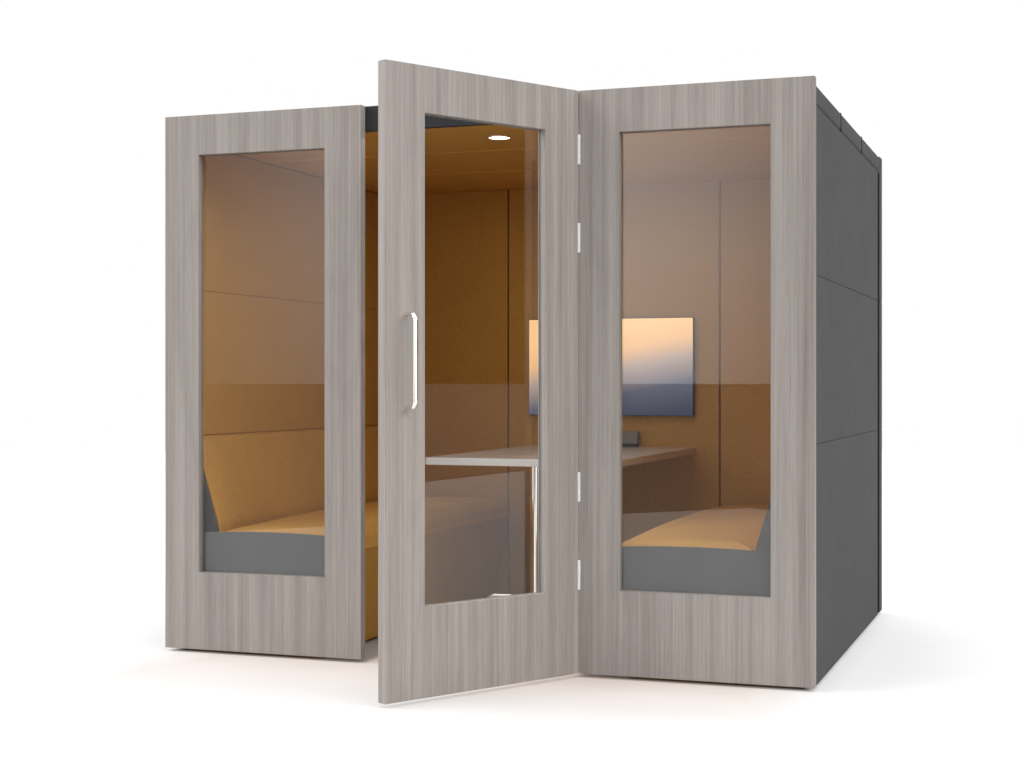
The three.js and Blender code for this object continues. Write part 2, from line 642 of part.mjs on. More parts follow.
// One bench, drawn on the right; the left one is its mirror image
function bench(side) {
  const group = new THREE.Group();
  if (side === "left") group.scale.x = -1;
  const length = cushionRear - cushionFront;
  const middleY = (cushionRear + cushionFront) / 2;

  const plinthFront = benchFront + PLINTH_SETBACK;
  const toe = plinthFront + TOE_SETBACK;
  const outline = new THREE.Shape()
    .moveTo(toe, 0)
    .lineTo(benchBack, 0)
    .lineTo(benchBack, plinthTop)
    .lineTo(plinthFront, plinthTop)
    .lineTo(plinthFront, TOE_HEIGHT)
    .lineTo(toe, TOE_HEIGHT)
    .closePath();
  add(group, `${side}_bench_plinth`, prismAlongY(outline, cushionFront, cushionRear), mustardFabric);

  const seatBottom = plinthTop + TOUCH;
  const seatEdge = SEAT_HEIGHT - seatBottom;
  const seatDepth = SEAT_DEPTH - TOUCH;
  const seatFace = (u, v) => seatEdge + SEAT_CROWN * (1 - u * u) + SEAT_SWELL * (1 - v * v);
  const seat = cushion(seatDepth, length, seatFace, SEAT_RADIUS);
  const seatMesh = add(group, `${side}_seat_cushion`, seat, mustardFabric);
  seatMesh.position.set(benchFront + seatDepth / 2, middleY, seatBottom);

  // The back stands straight behind the seat, then leans back to its upper edge
  const backHeight = LOWER_SEAM - seatBottom;
  const straight = SEAT_HEIGHT + SEAT_SWELL - seatBottom;
  const backFace = (u, v) => {
    const climb = Math.max(0, ((u + 1) / 2) * backHeight - straight) / (backHeight - straight);
    const swell = 4 * BACK_CROWN * climb * (1 - climb) * (1 - v ** BACK_CROWN_POWER);
    return BACK_FOOT - (BACK_FOOT - BACK_TOP) * climb + swell;
  };
  const back = cushion(backHeight, length, backFace, BACK_RADIUS).rotateY(-Math.PI / 2);
  const backMesh = add(group, `${side}_back_cushion`, back, mustardFabric);
  backMesh.position.set(benchBack, middleY, seatBottom + backHeight / 2);

  const endTop = LOWER_SEAM - END_PANEL_DROP;
  const endSeat = SEAT_HEIGHT - END_PANEL_DROP;
  const seatMiddle = (backFoot + plinthFront) / 2;
  const profile = new THREE.Shape()
    .moveTo(plinthFront, TOE_HEIGHT)
    .lineTo(benchBack, TOE_HEIGHT)
    .lineTo(benchBack, endTop)
    .lineTo(benchBack - BACK_TOP, endTop)
    .lineTo(backFoot + END_PANEL_DROP, endSeat)
    .quadraticCurveTo(seatMiddle, SEAT_HEIGHT + SEAT_CROWN, plinthFront, endSeat)
    .closePath();
  const endFront = shellFront + TOUCH;
  add(group, `${side}_bench_end`, prismAlongY(profile, endFront, endFront + END_PANEL), greyFabric);
  return group;
}

function table() {
  const group = new THREE.Group();
  const half = TABLE_WIDTH / 2;
  const rear = rearLiningFront - TOUCH;
  const outline = new THREE.Shape()
    .moveTo(-half, rear)
    .lineTo(-half, TABLE_FRONT + TABLE_CORNER)
    .absarc(TABLE_CORNER - half, TABLE_FRONT + TABLE_CORNER, TABLE_CORNER, Math.PI, 1.5 * Math.PI)
    .absarc(half - TABLE_CORNER, TABLE_FRONT + TABLE_CORNER, TABLE_CORNER, 1.5 * Math.PI, 2 * Math.PI)
    .lineTo(half, rear)
    .closePath();
  const slab = { depth: TABLE_THICKNESS, bevelEnabled: false, curveSegments: ARC_STEPS };
  const top = new THREE.ExtrudeGeometry(outline, slab).translate(0, 0, tableUnder);
  add(group, "table_top", top, laminate);

  const columnTop = tableUnder - TOUCH;
  const columnBottom = FOOT_THICKNESS + TOUCH;
  const column = turned(
    [
      [0, columnBottom],
      [COLUMN_RADIUS, columnBottom],
      [COLUMN_RADIUS, columnTop - FLANGE_THICKNESS],
      [FLANGE_RADIUS, columnTop - FLANGE_THICKNESS],
      [FLANGE_RADIUS, columnTop],
      [0, columnTop],
    ],
    ROUND_SIDES,
  );
  add(group, "table_column", column, chrome).position.y = tableColumn;

  const foot = turned(
    [
      [0, 0],
      [FOOT_RADIUS, 0],
      [FOOT_RADIUS, FOOT_THICKNESS - FOOT_BEVEL],
      [FOOT_RADIUS - FOOT_BEVEL, FOOT_THICKNESS],
      [0, FOOT_THICKNESS],
    ],
    WIDE_SIDES,
  );
  add(group, "table_foot", foot, chrome).position.y = tableColumn;

  const under = tableUnder - TOUCH;
  const cleat = prismAlongX(
    [
      [rear, under],
      [rear - CLEAT_LEG, under],
      [rear - CLEAT_LEG, under - CLEAT_WALL],
      [rear - CLEAT_WALL, under - CLEAT_WALL],
      [rear - CLEAT_WALL, under - CLEAT_LEG],
      [rear, under - CLEAT_LEG],
    ],
    -CLEAT_LENGTH / 2,
    CLEAT_LENGTH / 2,
  );
  add(group, "table_cleat", cleat, darkSteel);
  return group;
}

function screen() {
  const group = new THREE.Group();
  const half = SCREEN_WIDTH / 2;
  const rear = rearLiningFront - TOUCH;
  const front = rear - SCREEN_DEPTH;
  const top = screenBottom + SCREEN_HEIGHT;
  const housing = block([-half, front, screenBottom], [half, rear, top], SCREEN_RADIUS);
  add(group, "screen_housing", housing, blackPlastic);
  const paneLow = [SCREEN_BEZEL - half, front - TOUCH - SCREEN_PANE, screenBottom + SCREEN_BEZEL];
  const paneHigh = [half - SCREEN_BEZEL, front - TOUCH, top - SCREEN_BEZEL];
  add(group, "screen_pane", block(paneLow, paneHigh), screenGlass);
  return group;
}

function powerModule() {
  const half = MODULE_WIDTH / 2;
  const rear = rearLiningFront - TOUCH;
  const front = rear - MODULE_DEPTH;
  const bottom = TABLE_HEIGHT + TOUCH;
  const shoulder = bottom + MODULE_FOOT;
  const top = TABLE_HEIGHT + MODULE_HEIGHT;
  const wedge = prismAlongX(
    [
      [rear, bottom],
      [front + MODULE_FOOT_INSET, bottom],
      [front + MODULE_FOOT_INSET, shoulder],
      [front, shoulder],
      [front + MODULE_SLOPE, top],
      [rear, top],
    ].reverse(),
    -half,
    half,
  );
  const group = new THREE.Group();
  add(group, "power_module", wedge, greyPlastic);
  return group;
}

function downlight() {
  const group = new THREE.Group();
  group.position.set(0, lightY, roofBottom - TOUCH);
  const ringRadius = lightSleeve + LIGHT_FLANGE;
  const sleeveTop = LIGHT_SLEEVE - 2 * TOUCH;
  const ring = turned(
    [
      [lightBore, -LIGHT_RING_THICKNESS],
      [ringRadius - LIGHT_RING_THICKNESS, -LIGHT_RING_THICKNESS],
      [ringRadius, 0],
      [lightSleeve, 0],
      [lightSleeve, sleeveTop],
      [lightBore, sleeveTop],
      [lightBore, -LIGHT_RING_THICKNESS],
    ],
    ROUND_SIDES,
  );
  add(group, "downlight_ring", ring, chrome);
  const lensBottom = TOUCH - LIGHT_RING_THICKNESS;
  const lensTop = lensBottom + LIGHT_LENS_THICKNESS;
  const lens = post(0, lensBottom, lensTop, LIGHT_LENS_RADIUS, ROUND_SIDES);
  add(group, "downlight_lens", lens, lightLens);
  return group;
}

// Fan: the grille carries the motor hub on struts, and the rotor turns on the hub's shaft
function fan() {
  const group = new THREE.Group();
  group.position.set(FAN_OFFSET, fanY, roofBottom - TOUCH);
  const bore = FAN_DUCT_RADIUS - FAN_DUCT_WALL;
  const ringRadius = FAN_DUCT_RADIUS + FAN_FLANGE;
  const ductTop = ROOF_THICKNESS + TOUCH - FAN_DUCT_DROP;
  const ring = turned(
    [
      [bore, -FAN_RING_THICKNESS],
      [ringRadius, -FAN_RING_THICKNESS],
      [ringRadius, 0],
      [FAN_DUCT_RADIUS, 0],
      [FAN_DUCT_RADIUS, ductTop],
      [bore, ductTop],
      [bore, -FAN_RING_THICKNESS],
    ],
    ROUND_SIDES,
  );
  const hub = post(0, 0, FAN_HUB_HEIGHT, FAN_HUB_RADIUS, SMALL_SIDES);
  const shaftBottom = FAN_HUB_HEIGHT - OVERCUT;
  const shaft = post(0, shaftBottom, FAN_HUB_HEIGHT + FAN_SHAFT, FAN_SHAFT_RADIUS, SMALL_SIDES);
  const struts = Array.from({ length: FAN_STRUTS }, (_, index) => {
    const half = FAN_STRUT_WIDTH / 2;
    const arm = block([0, -half, 0], [bore + FAN_DUCT_WALL / 2, half, FAN_STRUT_WIDTH]);
    return arm.rotateZ((index * 2 * Math.PI) / FAN_STRUTS);
  });
  add(group, "fan_grille", join(ring, hub, shaft, ...struts), blackPlastic);

  const rotorBottom = FAN_HUB_HEIGHT + TOUCH;
  const rotorTop = rotorBottom + FAN_ROTOR_HEIGHT;
  const rotorHub = post(0, rotorBottom, rotorTop, FAN_HUB_RADIUS, SMALL_SIDES);
  const halfWidth = FAN_BLADE_WIDTH / 2;
  const halfThickness = FAN_BLADE_THICKNESS / 2;
  const bladeReach = Math.sqrt((bore - FAN_TIP_GAP) ** 2 - halfWidth ** 2);
  const blades = Array.from({ length: FAN_BLADES }, (_, index) => {
    const low = [FAN_HUB_RADIUS / 2, -halfWidth, -halfThickness];
    const blade = block(low, [bladeReach, halfWidth, halfThickness]);
    blade.rotateX(FAN_BLADE_PITCH).translate(0, 0, (rotorBottom + rotorTop) / 2);
    return blade.rotateZ((index * 2 * Math.PI) / FAN_BLADES);
  });
  const bearing = FAN_SHAFT_RADIUS + HINGE_RUN;
  const shaftHole = post(0, rotorBottom - OVERCUT, rotorTop + OVERCUT, bearing, SMALL_SIDES);
  add(group, "fan_rotor", cut(join(rotorHub, ...blades), shaftHole), blackPlastic);
  return group;
}

const pod = new THREE.Group();
pod.add(frontWall(), fixedHingeLeaves(), door());
pod.add(sideWall("left"), sideWall("right"), rearWall(), roof());
pod.add(bench("left"), bench("right"), table(), screen(), powerModule(), downlight(), fan());

// The origin is on the floor, in the middle of the space that the pod and its open door take up
const footprint = new THREE.Box3().setFromObject(pod, true);
pod.position.y = -(footprint.min.y + footprint.max.y) / 2;

const assembly = new THREE.Group();
assembly.add(pod);

export default assembly;
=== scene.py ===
"""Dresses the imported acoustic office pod, in metres, in the frame of its CAD model."""
import functools
import itertools
import json
import math

import bmesh
import bpy
from mathutils import Matrix, Vector

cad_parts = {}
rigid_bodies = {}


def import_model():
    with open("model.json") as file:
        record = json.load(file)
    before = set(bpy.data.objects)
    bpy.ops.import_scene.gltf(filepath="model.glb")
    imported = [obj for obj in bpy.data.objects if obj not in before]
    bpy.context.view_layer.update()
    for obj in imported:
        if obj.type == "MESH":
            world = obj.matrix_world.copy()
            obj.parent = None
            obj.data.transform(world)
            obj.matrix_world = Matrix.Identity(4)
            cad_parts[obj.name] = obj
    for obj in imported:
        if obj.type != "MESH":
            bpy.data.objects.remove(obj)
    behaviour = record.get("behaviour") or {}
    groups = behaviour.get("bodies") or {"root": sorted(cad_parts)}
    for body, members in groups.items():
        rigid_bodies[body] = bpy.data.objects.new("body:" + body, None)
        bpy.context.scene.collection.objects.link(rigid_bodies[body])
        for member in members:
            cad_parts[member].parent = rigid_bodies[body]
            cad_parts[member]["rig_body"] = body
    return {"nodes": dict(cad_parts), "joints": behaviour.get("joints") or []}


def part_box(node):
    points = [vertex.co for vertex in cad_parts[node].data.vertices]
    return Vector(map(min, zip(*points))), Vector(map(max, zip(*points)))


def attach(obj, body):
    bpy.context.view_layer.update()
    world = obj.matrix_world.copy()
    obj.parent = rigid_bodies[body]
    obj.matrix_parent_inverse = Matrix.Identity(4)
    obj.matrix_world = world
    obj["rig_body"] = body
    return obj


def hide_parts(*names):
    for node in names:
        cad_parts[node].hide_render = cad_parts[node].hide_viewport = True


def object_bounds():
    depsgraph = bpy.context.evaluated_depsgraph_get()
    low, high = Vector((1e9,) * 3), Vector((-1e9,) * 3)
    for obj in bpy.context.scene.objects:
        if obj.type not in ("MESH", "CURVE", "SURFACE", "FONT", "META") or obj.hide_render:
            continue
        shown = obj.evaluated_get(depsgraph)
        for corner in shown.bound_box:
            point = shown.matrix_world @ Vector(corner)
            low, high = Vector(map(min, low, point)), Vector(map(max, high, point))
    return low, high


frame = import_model()
cad_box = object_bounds()
joints = {joint["name"]: joint for joint in frame["joints"]}

# Axes, and how finely round shapes are drawn
X, Y, Z = range(3)
WIDE_SIDES = 96
ROUND_SIDES = 64
SMALL_SIDES = 32
CORNER_STEPS = 4
ROUND_STEPS = 8
SHARP_ANGLE = math.radians(35)
OVERCUT = 0.002
NEAR = 1e-5

# Upholstered panels
WALL_ROUND = 0.010
REAR_ROUND = 0.012
ROW_ROUND = 0.003
ROOF_ROUND = 0.016
ROOF_SEAM_ROUND = 0.010
ROOF_GAP = 0.022
JOINT_DEPTH = 0.012
JOINT_RETURN = 0.003
JOINT_CLEAR = 0.0015
POST_LENGTH = 0.060
LINING_ROUND = 0.005
LINING_EDGE = 0.002
LINING_SEAM = 0.0006
REAR_SEAM = 0.003
CEILING_SEAM = 0.004
CEILING_ROUND = 0.007
CEILING_WELT = 0.005
WELT_ANGLES = (205, 335)
WELT_STEPS = 12
HEADER_ROUND = 0.003
RECESS_GAP = 0.0003

# Door furniture, drawn closed about the hinge pin, which stands in the plane of the door's face:
# the door runs along -X and its face looks along -Y
DOOR_THICKNESS = 0.038
HINGE_HALF_GAP = 0.0003
HINGE_PLATE = 0.002
HINGE_PLATE_FRONT = 0.0063
HINGE_PLATE_REAR = 0.03
HINGE_EDGE = 0.0004
HINGE_RUN = 0.0003
KNUCKLES = 5
KNUCKLE_RADIUS = 0.006
KNUCKLE_EDGE = 0.0009
SCREWS = 3
SCREW_RADIUS = 0.0042
SCREW_RISE = 0.00018
SCREW_BAR_RISE = 0.00027
SCREW_FLAT = 0.7
SCREW_SPREAD = 0.62
HANDLE_ALONG = -0.7703
HANDLE_STANDOFF = 0.052
HANDLE_RADIUS = 0.009
HANDLE_BEND = 0.026
HANDLE_BEND_STEPS = 14
HANDLE_STRAIGHT = 0.004
BOLT_RADIUS = 0.008
BOLT_RISE = 0.004
BOLT_ROUND = 0.0024
SEAL_LAP = 0.026
SEAL_HOLD = 0.016
SEAL_THICKNESS = 0.010
SEAL_EDGE = 0.003
EDGE_SEAL = 0.0015
EDGE_SEAL_INSET = 0.0005

# Benches and cushions: the rises of their faces, and the cloth that is blown up over the cushions
SEAT_EDGE = 0.0767
SEAT_CROWN = 0.010
SEAT_SWELL = 0.021
SEAT_ROUND = 0.020
SEAT_FALL = 0.085
SEAT_LIP = 0.034
BENCH_DRAW = 0.004
BENCH_LEAN = 0.076
BENCH_EDGE = 0.0015
BENCH_TOE_HEIGHT = 0.016
BENCH_TOE_DEPTH = 0.030
END_TOE = 0.045
END_SEAT = 0.470
END_CROWN = 0.0055
END_TOP = 0.840
END_FOOT = 1.0587
END_STEPS = 10
BACK_FOOT = 0.134
BACK_TOP = 0.023
BACK_STRAIGHT = 0.097
BACK_CROWN = 0.009
BACK_CROWN_POWER = 8
BACK_ROUND = 0.010
BACK_ROLL = 0.035
BACK_LIP = 0.008
SIDE_DRAW = 0.004
START_SHRINK = 0.003
CLOTH_GRID = 0.015
CUSHION_LAYERS = 6
CORNER_TURNS = 5
CLOTH_PRESSURE = 4.0
CLOTH_FRAMES = 20
CLOTH_CAP = 0.008
CUSHION_RISE = 0.006
HELD_DEPTH = 0.006

# Table, screen and power module
TABLE_CORNER = 0.025
TABLE_EDGE = 0.0022
COLUMN_RADIUS = 0.03
FLANGE_RADIUS = 0.075
FLANGE_THICKNESS = 0.006
FLANGE_EDGE = 0.001
FILLET = 0.004
FOOT_BEVEL = 0.009
SCREEN_ROUND = 0.003
PANE_ROUND = 0.001
MODULE_SLOPE = 0.026
MODULE_FOOT = 0.016
MODULE_FOOT_INSET = 0.003
MODULE_ROUND = 0.0025

# Downlight and fan
LENS_RADIUS = 0.04
LENS_CROWN = 0.0015
RING_RADIUS = 0.049
RING_BORE = 0.0403
RING_SLEEVE = 0.0423
RING_DROP = 0.003
RING_LIP = 0.001
SLEEVE_HEIGHT = 0.0354
FAN_RING_RADIUS = 0.095
FAN_RING_ROUND = 0.003
FAN_DUCT = 0.075
FAN_BORE = 0.072
FAN_HUB = 0.024
FAN_HUB_HEIGHT = 0.016
FAN_HUB_ROUND = 0.002
FAN_SHAFT = 0.004
FAN_STRUTS = 3
FAN_STRUT = 0.008
FAN_STRUT_EDGE = 0.0005
FAN_BLADES = 7
FAN_BLADE_ROOT = math.radians(44)
FAN_BLADE_TIP = math.radians(26)
FAN_BLADE_START = 0.0216
FAN_BLADE_WIDTH = 0.03
FAN_BLADE_ENDS = 0.72
FAN_BLADE_THICKNESS = 0.0025
FAN_BLADE_THINNING = 0.5
FAN_BLADE_STEPS = 8
FAN_TIP = 0.066
ROTOR_HEIGHT = 0.02
CEILING_HOLE_GAP = 0.001

# Finishes. Tones are in sRGB, each at its place on a ramp. A fabric has three tones and a sheen. A smooth
# finish has two tones, a range of roughness, a share of metal and the strength of its grain.
WOOD_RINGS = 9
WOOD_TONES = [(0.26, (130, 121, 115)), (0.49, (166, 157, 151)), (0.70, (192, 183, 177))]
TABLE_TONES = [(0.35, (198, 190, 180)), (0.65, (214, 207, 198))]
# White of the edge band, painted only where the edge looks to the front: partly its own colour, partly
# painted light
TABLE_LIT_FRONT_EDGE_TONES = [(0.80, (246, 243, 238)), (0.98, (251, 249, 245))]
SCREEN_TONES = [
    (0.04, (38, 44, 68)),
    (0.30, (76, 79, 96)),
    (0.54, (164, 142, 132)),
    (0.72, (230, 178, 124)),
    (0.92, (247, 192, 129)),
]
LENS_TONES = [(0.3, (250, 244, 232)), (0.7, (255, 251, 243))]
CLOTH_THREADS = 460
FABRIC_PLACES = (0.38, 0.50, 0.62)
FABRICS = {
    "grey_fabric": ((80, 80, 80), (90, 90, 90), (100, 100, 100), 0.04),
    "mustard_fabric": ((188, 140, 68), (198, 150, 76), (208, 160, 85), 0.06),
}
SMOOTH_FINISHES = {
    # The chrome is near white; its slight warm tint is a painted reflection of the warm wood and cabin around
    # it
    "chrome": ((240, 236, 231), (248, 244, 239), (0.08, 0.14), 1.0, 0.02),
    "dark_steel": ((40, 41, 43), (58, 59, 61), (0.42, 0.58), 0.6, 0.12),
    "white_metal": ((244, 244, 243), (252, 252, 251), (0.22, 0.34), 0.0, 0.12),
    "black_plastic": ((24, 24, 25), (36, 36, 37), (0.42, 0.56), 0.0, 0.12),
    "grey_plastic": ((120, 120, 118), (138, 138, 135), (0.40, 0.54), 0.0, 0.12),
    "gasket_rubber": ((142, 138, 133), (158, 154, 148), (0.62, 0.80), 0.0, 0.12),
}
SMOOTH_PLACES = (0.35, 0.65)
SMOOTH_PATCHES = 20 / 3
SMOOTH_GRAIN = 480
SMOOTH_DEPTH = 0.0001

# Picture, placed from the middle of the pod's front face at floor level
CAMERA_PLACE = (2.110, -5.460, 1.050)
CAMERA_TURN = math.radians(19.49)
CAMERA_LENS = 56.06
CAMERA_SENSOR = 36
CAMERA_REACH = 100
FLOOR_CORNERS = [(-0.49, -7.866), (20.35, 7.134), (10.0, 24.6), (-16.0, 14.6), (-10.7, 3.034)]
FLOOR_ALBEDO = 0.48
FLOOR_DUST = 0.01
FLOOR_GLOW = 0.48
FLOOR_FAR_GLOW = 0.66
FLOOR_NEAR = 1.5
FLOOR_FAR = 2.2
FLOOR_GLOSSY_GLOW = 0.42
# Painted warm light and shade on the floor: tints of its glow, from the pod's front face out to a metre ahead
FLOOR_PAINTED_SPILL_AND_SHADE = [
    (0.00, (0.67, 0.53, 0.43)),
    (0.12, (0.70, 0.56, 0.47)),
    (0.25, (0.79, 0.65, 0.58)),
    (0.45, (0.80, 0.70, 0.65)),
    (0.70, (0.86, 0.83, 0.81)),
    (1.00, (1.00, 1.00, 1.00)),
]
# Where that painted warm shade on the floor ends, to the sides and behind the pod
FLOOR_PAINTED_SPILL_ENDS = (1.0, 1.35)
FLOOR_PAINTED_SPILL_REAR = (-2.05, -1.95)
FLOOR_SHADE_DEPTH = 0.05
FLOOR_OPENING = (0.40, 0.44)
DOME_STRENGTH = 2.15
DOME_TONES = [(0.05, 2.35), (0.15, 2.35), (0.25, 0.15), (0.62, 0.15), (0.78, 1.00), (0.95, 1.85)]
DOME_TURN = (-0.1, 0.3)
DOME_REAR = 0.28
DOME_TOP = (0.7, 0.95)
DOME_CROWN = 0.9
DOME_FOOT = 0.19
DOME_START = 0.30
PANEL_LIGHT = 2.585
PANEL_LIGHT_SIDE = -0.304
PANEL_LIGHT_SPREAD = 0.1235
PANEL_LIGHT_RISE = 0.09
PANEL_LIGHT_FOOT = 0.68
GROUND_STRENGTH = 0.30
CARD_TONES = [(0.17, 1.45), (0.21, 0.0), (0.45, 0.0), (0.48, 1.45)]
CARD_REAR = (-0.12, -0.04)
CABIN_LIGHT_DROP = 0.03
CABIN_LIGHT_SIZE = 1.3
CABIN_LIGHT_POWER = 5.5
CABIN_LIGHT_FORWARD = 0.35
DOWNLIGHT_STRENGTH = 4.0
SCREEN_STRENGTH = 1.05


def colour(red, green, blue):
    """A colour written as 0 to 255 in sRGB, as the linear colour that a shader takes."""
    shares = [value / 255 for value in (red, green, blue)]
    linear = [s / 12.92 if s <= 0.04045 else ((s + 0.055) / 1.055) ** 2.4 for s in shares]
    return (*linear, 1.0)


class Nodes:
    """Short calls that add nodes to a tree."""

    def __init__(self, tree):
        self.tree = tree
        tree.nodes.clear()

    def add(self, kind):
        return self.tree.nodes.new(kind)

    def join(self, source, target):
        self.tree.links.new(source, target)

    def math(self, operation, first, second=None):
        node = self.add("ShaderNodeMath")
        node.operation = operation
        for socket, value in zip(node.inputs, (first, second)):
            if isinstance(value, (int, float)):
                socket.default_value = value
            elif value is not None:
                self.join(value, socket)
        return node.outputs["Value"]

    def fold(self, operation, values):
        """One operation over several values in turn."""
        return functools.reduce(lambda first, second: self.math(operation, first, second), values)

    def times(self, *values):
        return self.fold("MULTIPLY", values)

    def most(self, *values):
        return self.fold("MAXIMUM", values)

    def total(self, *weighted):
        """The sum of (source, weight) pairs."""
        return self.fold("ADD", [self.times(source, weight) for source, weight in weighted])

    def ramp(self, source, *stops):
        """A colour for each place along the source: stops are (place, colour) pairs."""
        node = self.add("ShaderNodeValToRGB")
        elements = node.color_ramp.elements
        elements.remove(elements[1])
        elements[0].position, elements[0].color = stops[0]
        for place, tint in stops[1:]:
            elements.new(place).color = tint
        self.join(source, node.inputs["Fac"])
        return node.outputs["Color"]

    def greys(self, source, tones):
        """A grey for each place along the source: tones are (place, tone) pairs."""
        return self.ramp(source, *((place, (tone, tone, tone, 1.0)) for place, tone in tones))

    def spread(self, source, low, high, to_low, to_high):
        """The source's range from low to high, stretched to another range."""
        node = self.add("ShaderNodeMapRange")
        limits = {"From Min": low, "From Max": high, "To Min": to_low, "To Max": to_high}
        for socket, value in limits.items():
            node.inputs[socket].default_value = value
        self.join(source, node.inputs["Value"])
        return node.outputs["Result"]

    def seen(self):
        """1 for a ray from the camera that nothing has mirrored, straight or through panes, else 0."""
        path = self.add("ShaderNodeLightPath").outputs
        straight = self.math("LESS_THAN", path["Glossy Depth"], 0.5)
        return self.most(path["Is Camera Ray"], self.times(path["Is Transmission Ray"], straight))

    def parts(self, vector):
        """The X, Y and Z of a vector."""
        split = self.add("ShaderNodeSeparateXYZ")
        self.join(vector, split.inputs["Vector"])
        return list(split.outputs)


class Shader(Nodes):
    """A material with a Principled surface."""

    def __init__(self, name, **settings):
        self.material = bpy.data.materials.new(name)
        self.material.use_nodes = True
        super().__init__(self.material.node_tree)
        self.output = self.add("ShaderNodeOutputMaterial")
        self.surface = self.add("ShaderNodeBsdfPrincipled")
        self.join(self.surface.outputs["BSDF"], self.output.inputs["Surface"])
        self.place = self.add("ShaderNodeTexCoord").outputs["Object"]
        for socket, value in settings.items():
            self.surface.inputs[socket.replace("_", " ")].default_value = value

    def feed(self, source, socket):
        """Drives one of the surface's own sockets."""
        self.join(source, self.surface.inputs[socket])

    def paint(self, source, tones, *sockets):
        """Drives sockets with a tone for each place along the source."""
        tint = self.ramp(source, *((place, colour(*tone)) for place, tone in tones))
        for socket in sockets:
            self.feed(tint, socket)

    def noise(self, repeats, detail, roughness=0.55):
        """Noise that stays with the object, with so many repeats to a metre along each axis."""
        mapping = self.add("ShaderNodeMapping")
        mapping.inputs["Scale"].default_value = repeats
        self.join(self.place, mapping.inputs["Vector"])
        texture = self.add("ShaderNodeTexNoise")
        settings = {"Scale": 1.0, "Detail": detail, "Roughness": roughness}
        for socket, value in settings.items():
            texture.inputs[socket].default_value = value
        self.join(mapping.outputs["Vector"], texture.inputs["Vector"])
        return texture.outputs["Fac"]

    def bump(self, height, depth, strength):
        """Lets the height, from 0 to 1, stand out by depth metres."""
        node = self.add("ShaderNodeBump")
        node.inputs["Distance"].default_value = depth
        node.inputs["Strength"].default_value = strength
        self.join(height, node.inputs["Height"])
        self.feed(node.outputs["Normal"], "Normal")

    def weave(self, threads):
        """A plain weave with so many threads to a metre, from 0 to 1, on faces along any axis."""
        turn = threads * math.pi
        waves = [self.math("SINE", self.times(part, turn)) for part in self.parts(self.place)]
        pairs = [self.times(waves[a], waves[b]) for a, b in ((X, Y), (Y, Z), (Z, X))]
        return self.spread(self.fold("ADD", pairs), -1.5, 1.5, 0.0, 1.0)


def wood_laminate():
    """Grey-taupe laminate: fine upright grain, short dark flecks and a few arched year rings."""
    shader = Shader("wood_laminate")
    bands = shader.noise((26, 26, 0.45), detail=2, roughness=0.5)
    grain = shader.noise((120, 120, 1.1), detail=4, roughness=0.65)
    fleck = shader.noise((260, 260, 7), detail=2, roughness=0.6)
    pores = shader.noise((700, 700, 12), detail=2)
    arches = shader.noise((2.6, 2.6, 0.42), detail=1)
    rings = shader.math("SINE", shader.times(arches, WOOD_RINGS * 2 * math.pi))
    line = shader.spread(rings, 0.6, 1.0, 0.0, 1.0)
    dark = shader.spread(fleck, 0.42, 0.30, 0.0, 1.0)
    light = shader.total((bands, 0.38), (grain, 0.41), (pores, 0.21), (dark, -0.06), (line, -0.025))
    shader.paint(light, WOOD_TONES, "Base Color")
    shader.feed(shader.spread(grain, 0.3, 0.7, 0.58, 0.46), "Roughness")
    shader.bump(shader.total((grain, 0.5), (pores, 0.5)), 0.0003, 0.3)
    return shader.material


def fabric(name, dark, middle, light, sheen):
    """Woven cloth with heathered yarn, in three tones."""
    shader = Shader(name, Roughness=0.92, Sheen_Weight=sheen, Sheen_Roughness=0.5, Specular_IOR_Level=0.2)
    shader.surface.inputs["Sheen Tint"].default_value = colour(*middle)
    clouds = shader.noise((5, 5, 5), detail=2)
    mottle = shader.noise((110, 110, 110), detail=3)
    yarn = shader.noise((520, 520, 520), detail=2)
    threads = shader.weave(CLOTH_THREADS)
    tone = shader.total((clouds, 0.12), (mottle, 0.38), (yarn, 0.35), (threads, 0.15))
    shader.paint(tone, zip(FABRIC_PLACES, (dark, middle, light)), "Base Color")
    shader.bump(shader.total((threads, 0.5), (yarn, 0.3), (mottle, 0.2)), 0.0008, 0.45)
    return shader.material


def glass():
    """Clear pane: it mirrors and bends what is seen, and lets the light of the room through."""
    shader = Shader("glass", IOR=1.5, Transmission_Weight=1.0)
    shader.surface.inputs["Base Color"].default_value = (0.985, 0.985, 0.985, 1.0)
    smear = shader.noise((5, 5, 3), detail=3)
    shader.feed(shader.spread(smear, 0.45, 0.75, 0.0, 0.012), "Roughness")
    clear = shader.add("ShaderNodeBsdfTransparent")
    clear.inputs["Color"].default_value = (0.95, 0.95, 0.95, 1.0)
    path = shader.add("ShaderNodeLightPath").outputs
    passing = shader.most(path["Is Shadow Ray"], path["Is Diffuse Ray"])
    either = shader.add("ShaderNodeMixShader")
    shader.join(passing, either.inputs["Fac"])
    shader.join(shader.surface.outputs["BSDF"], either.inputs[1])
    shader.join(clear.outputs["BSDF"], either.inputs[2])
    shader.join(either.outputs["Shader"], shader.output.inputs["Surface"])
    return shader.material


def smooth_finish(name, dark, light, rough, metallic, strength):
    """Moulded, painted or plated surface with faint changes of tone and gloss."""
    shader = Shader(name, Metallic=metallic)
    patches = shader.noise((SMOOTH_PATCHES,) * 3, detail=3)
    grain = shader.noise((SMOOTH_GRAIN,) * 3, detail=2)
    tone = shader.total((patches, 0.6), (grain, 0.4))
    shader.paint(tone, zip(SMOOTH_PLACES, (dark, light)), "Base Color")
    shader.feed(shader.spread(patches, 0.3, 0.7, *rough), "Roughness")
    shader.bump(grain, SMOOTH_DEPTH, strength)
    return shader.material


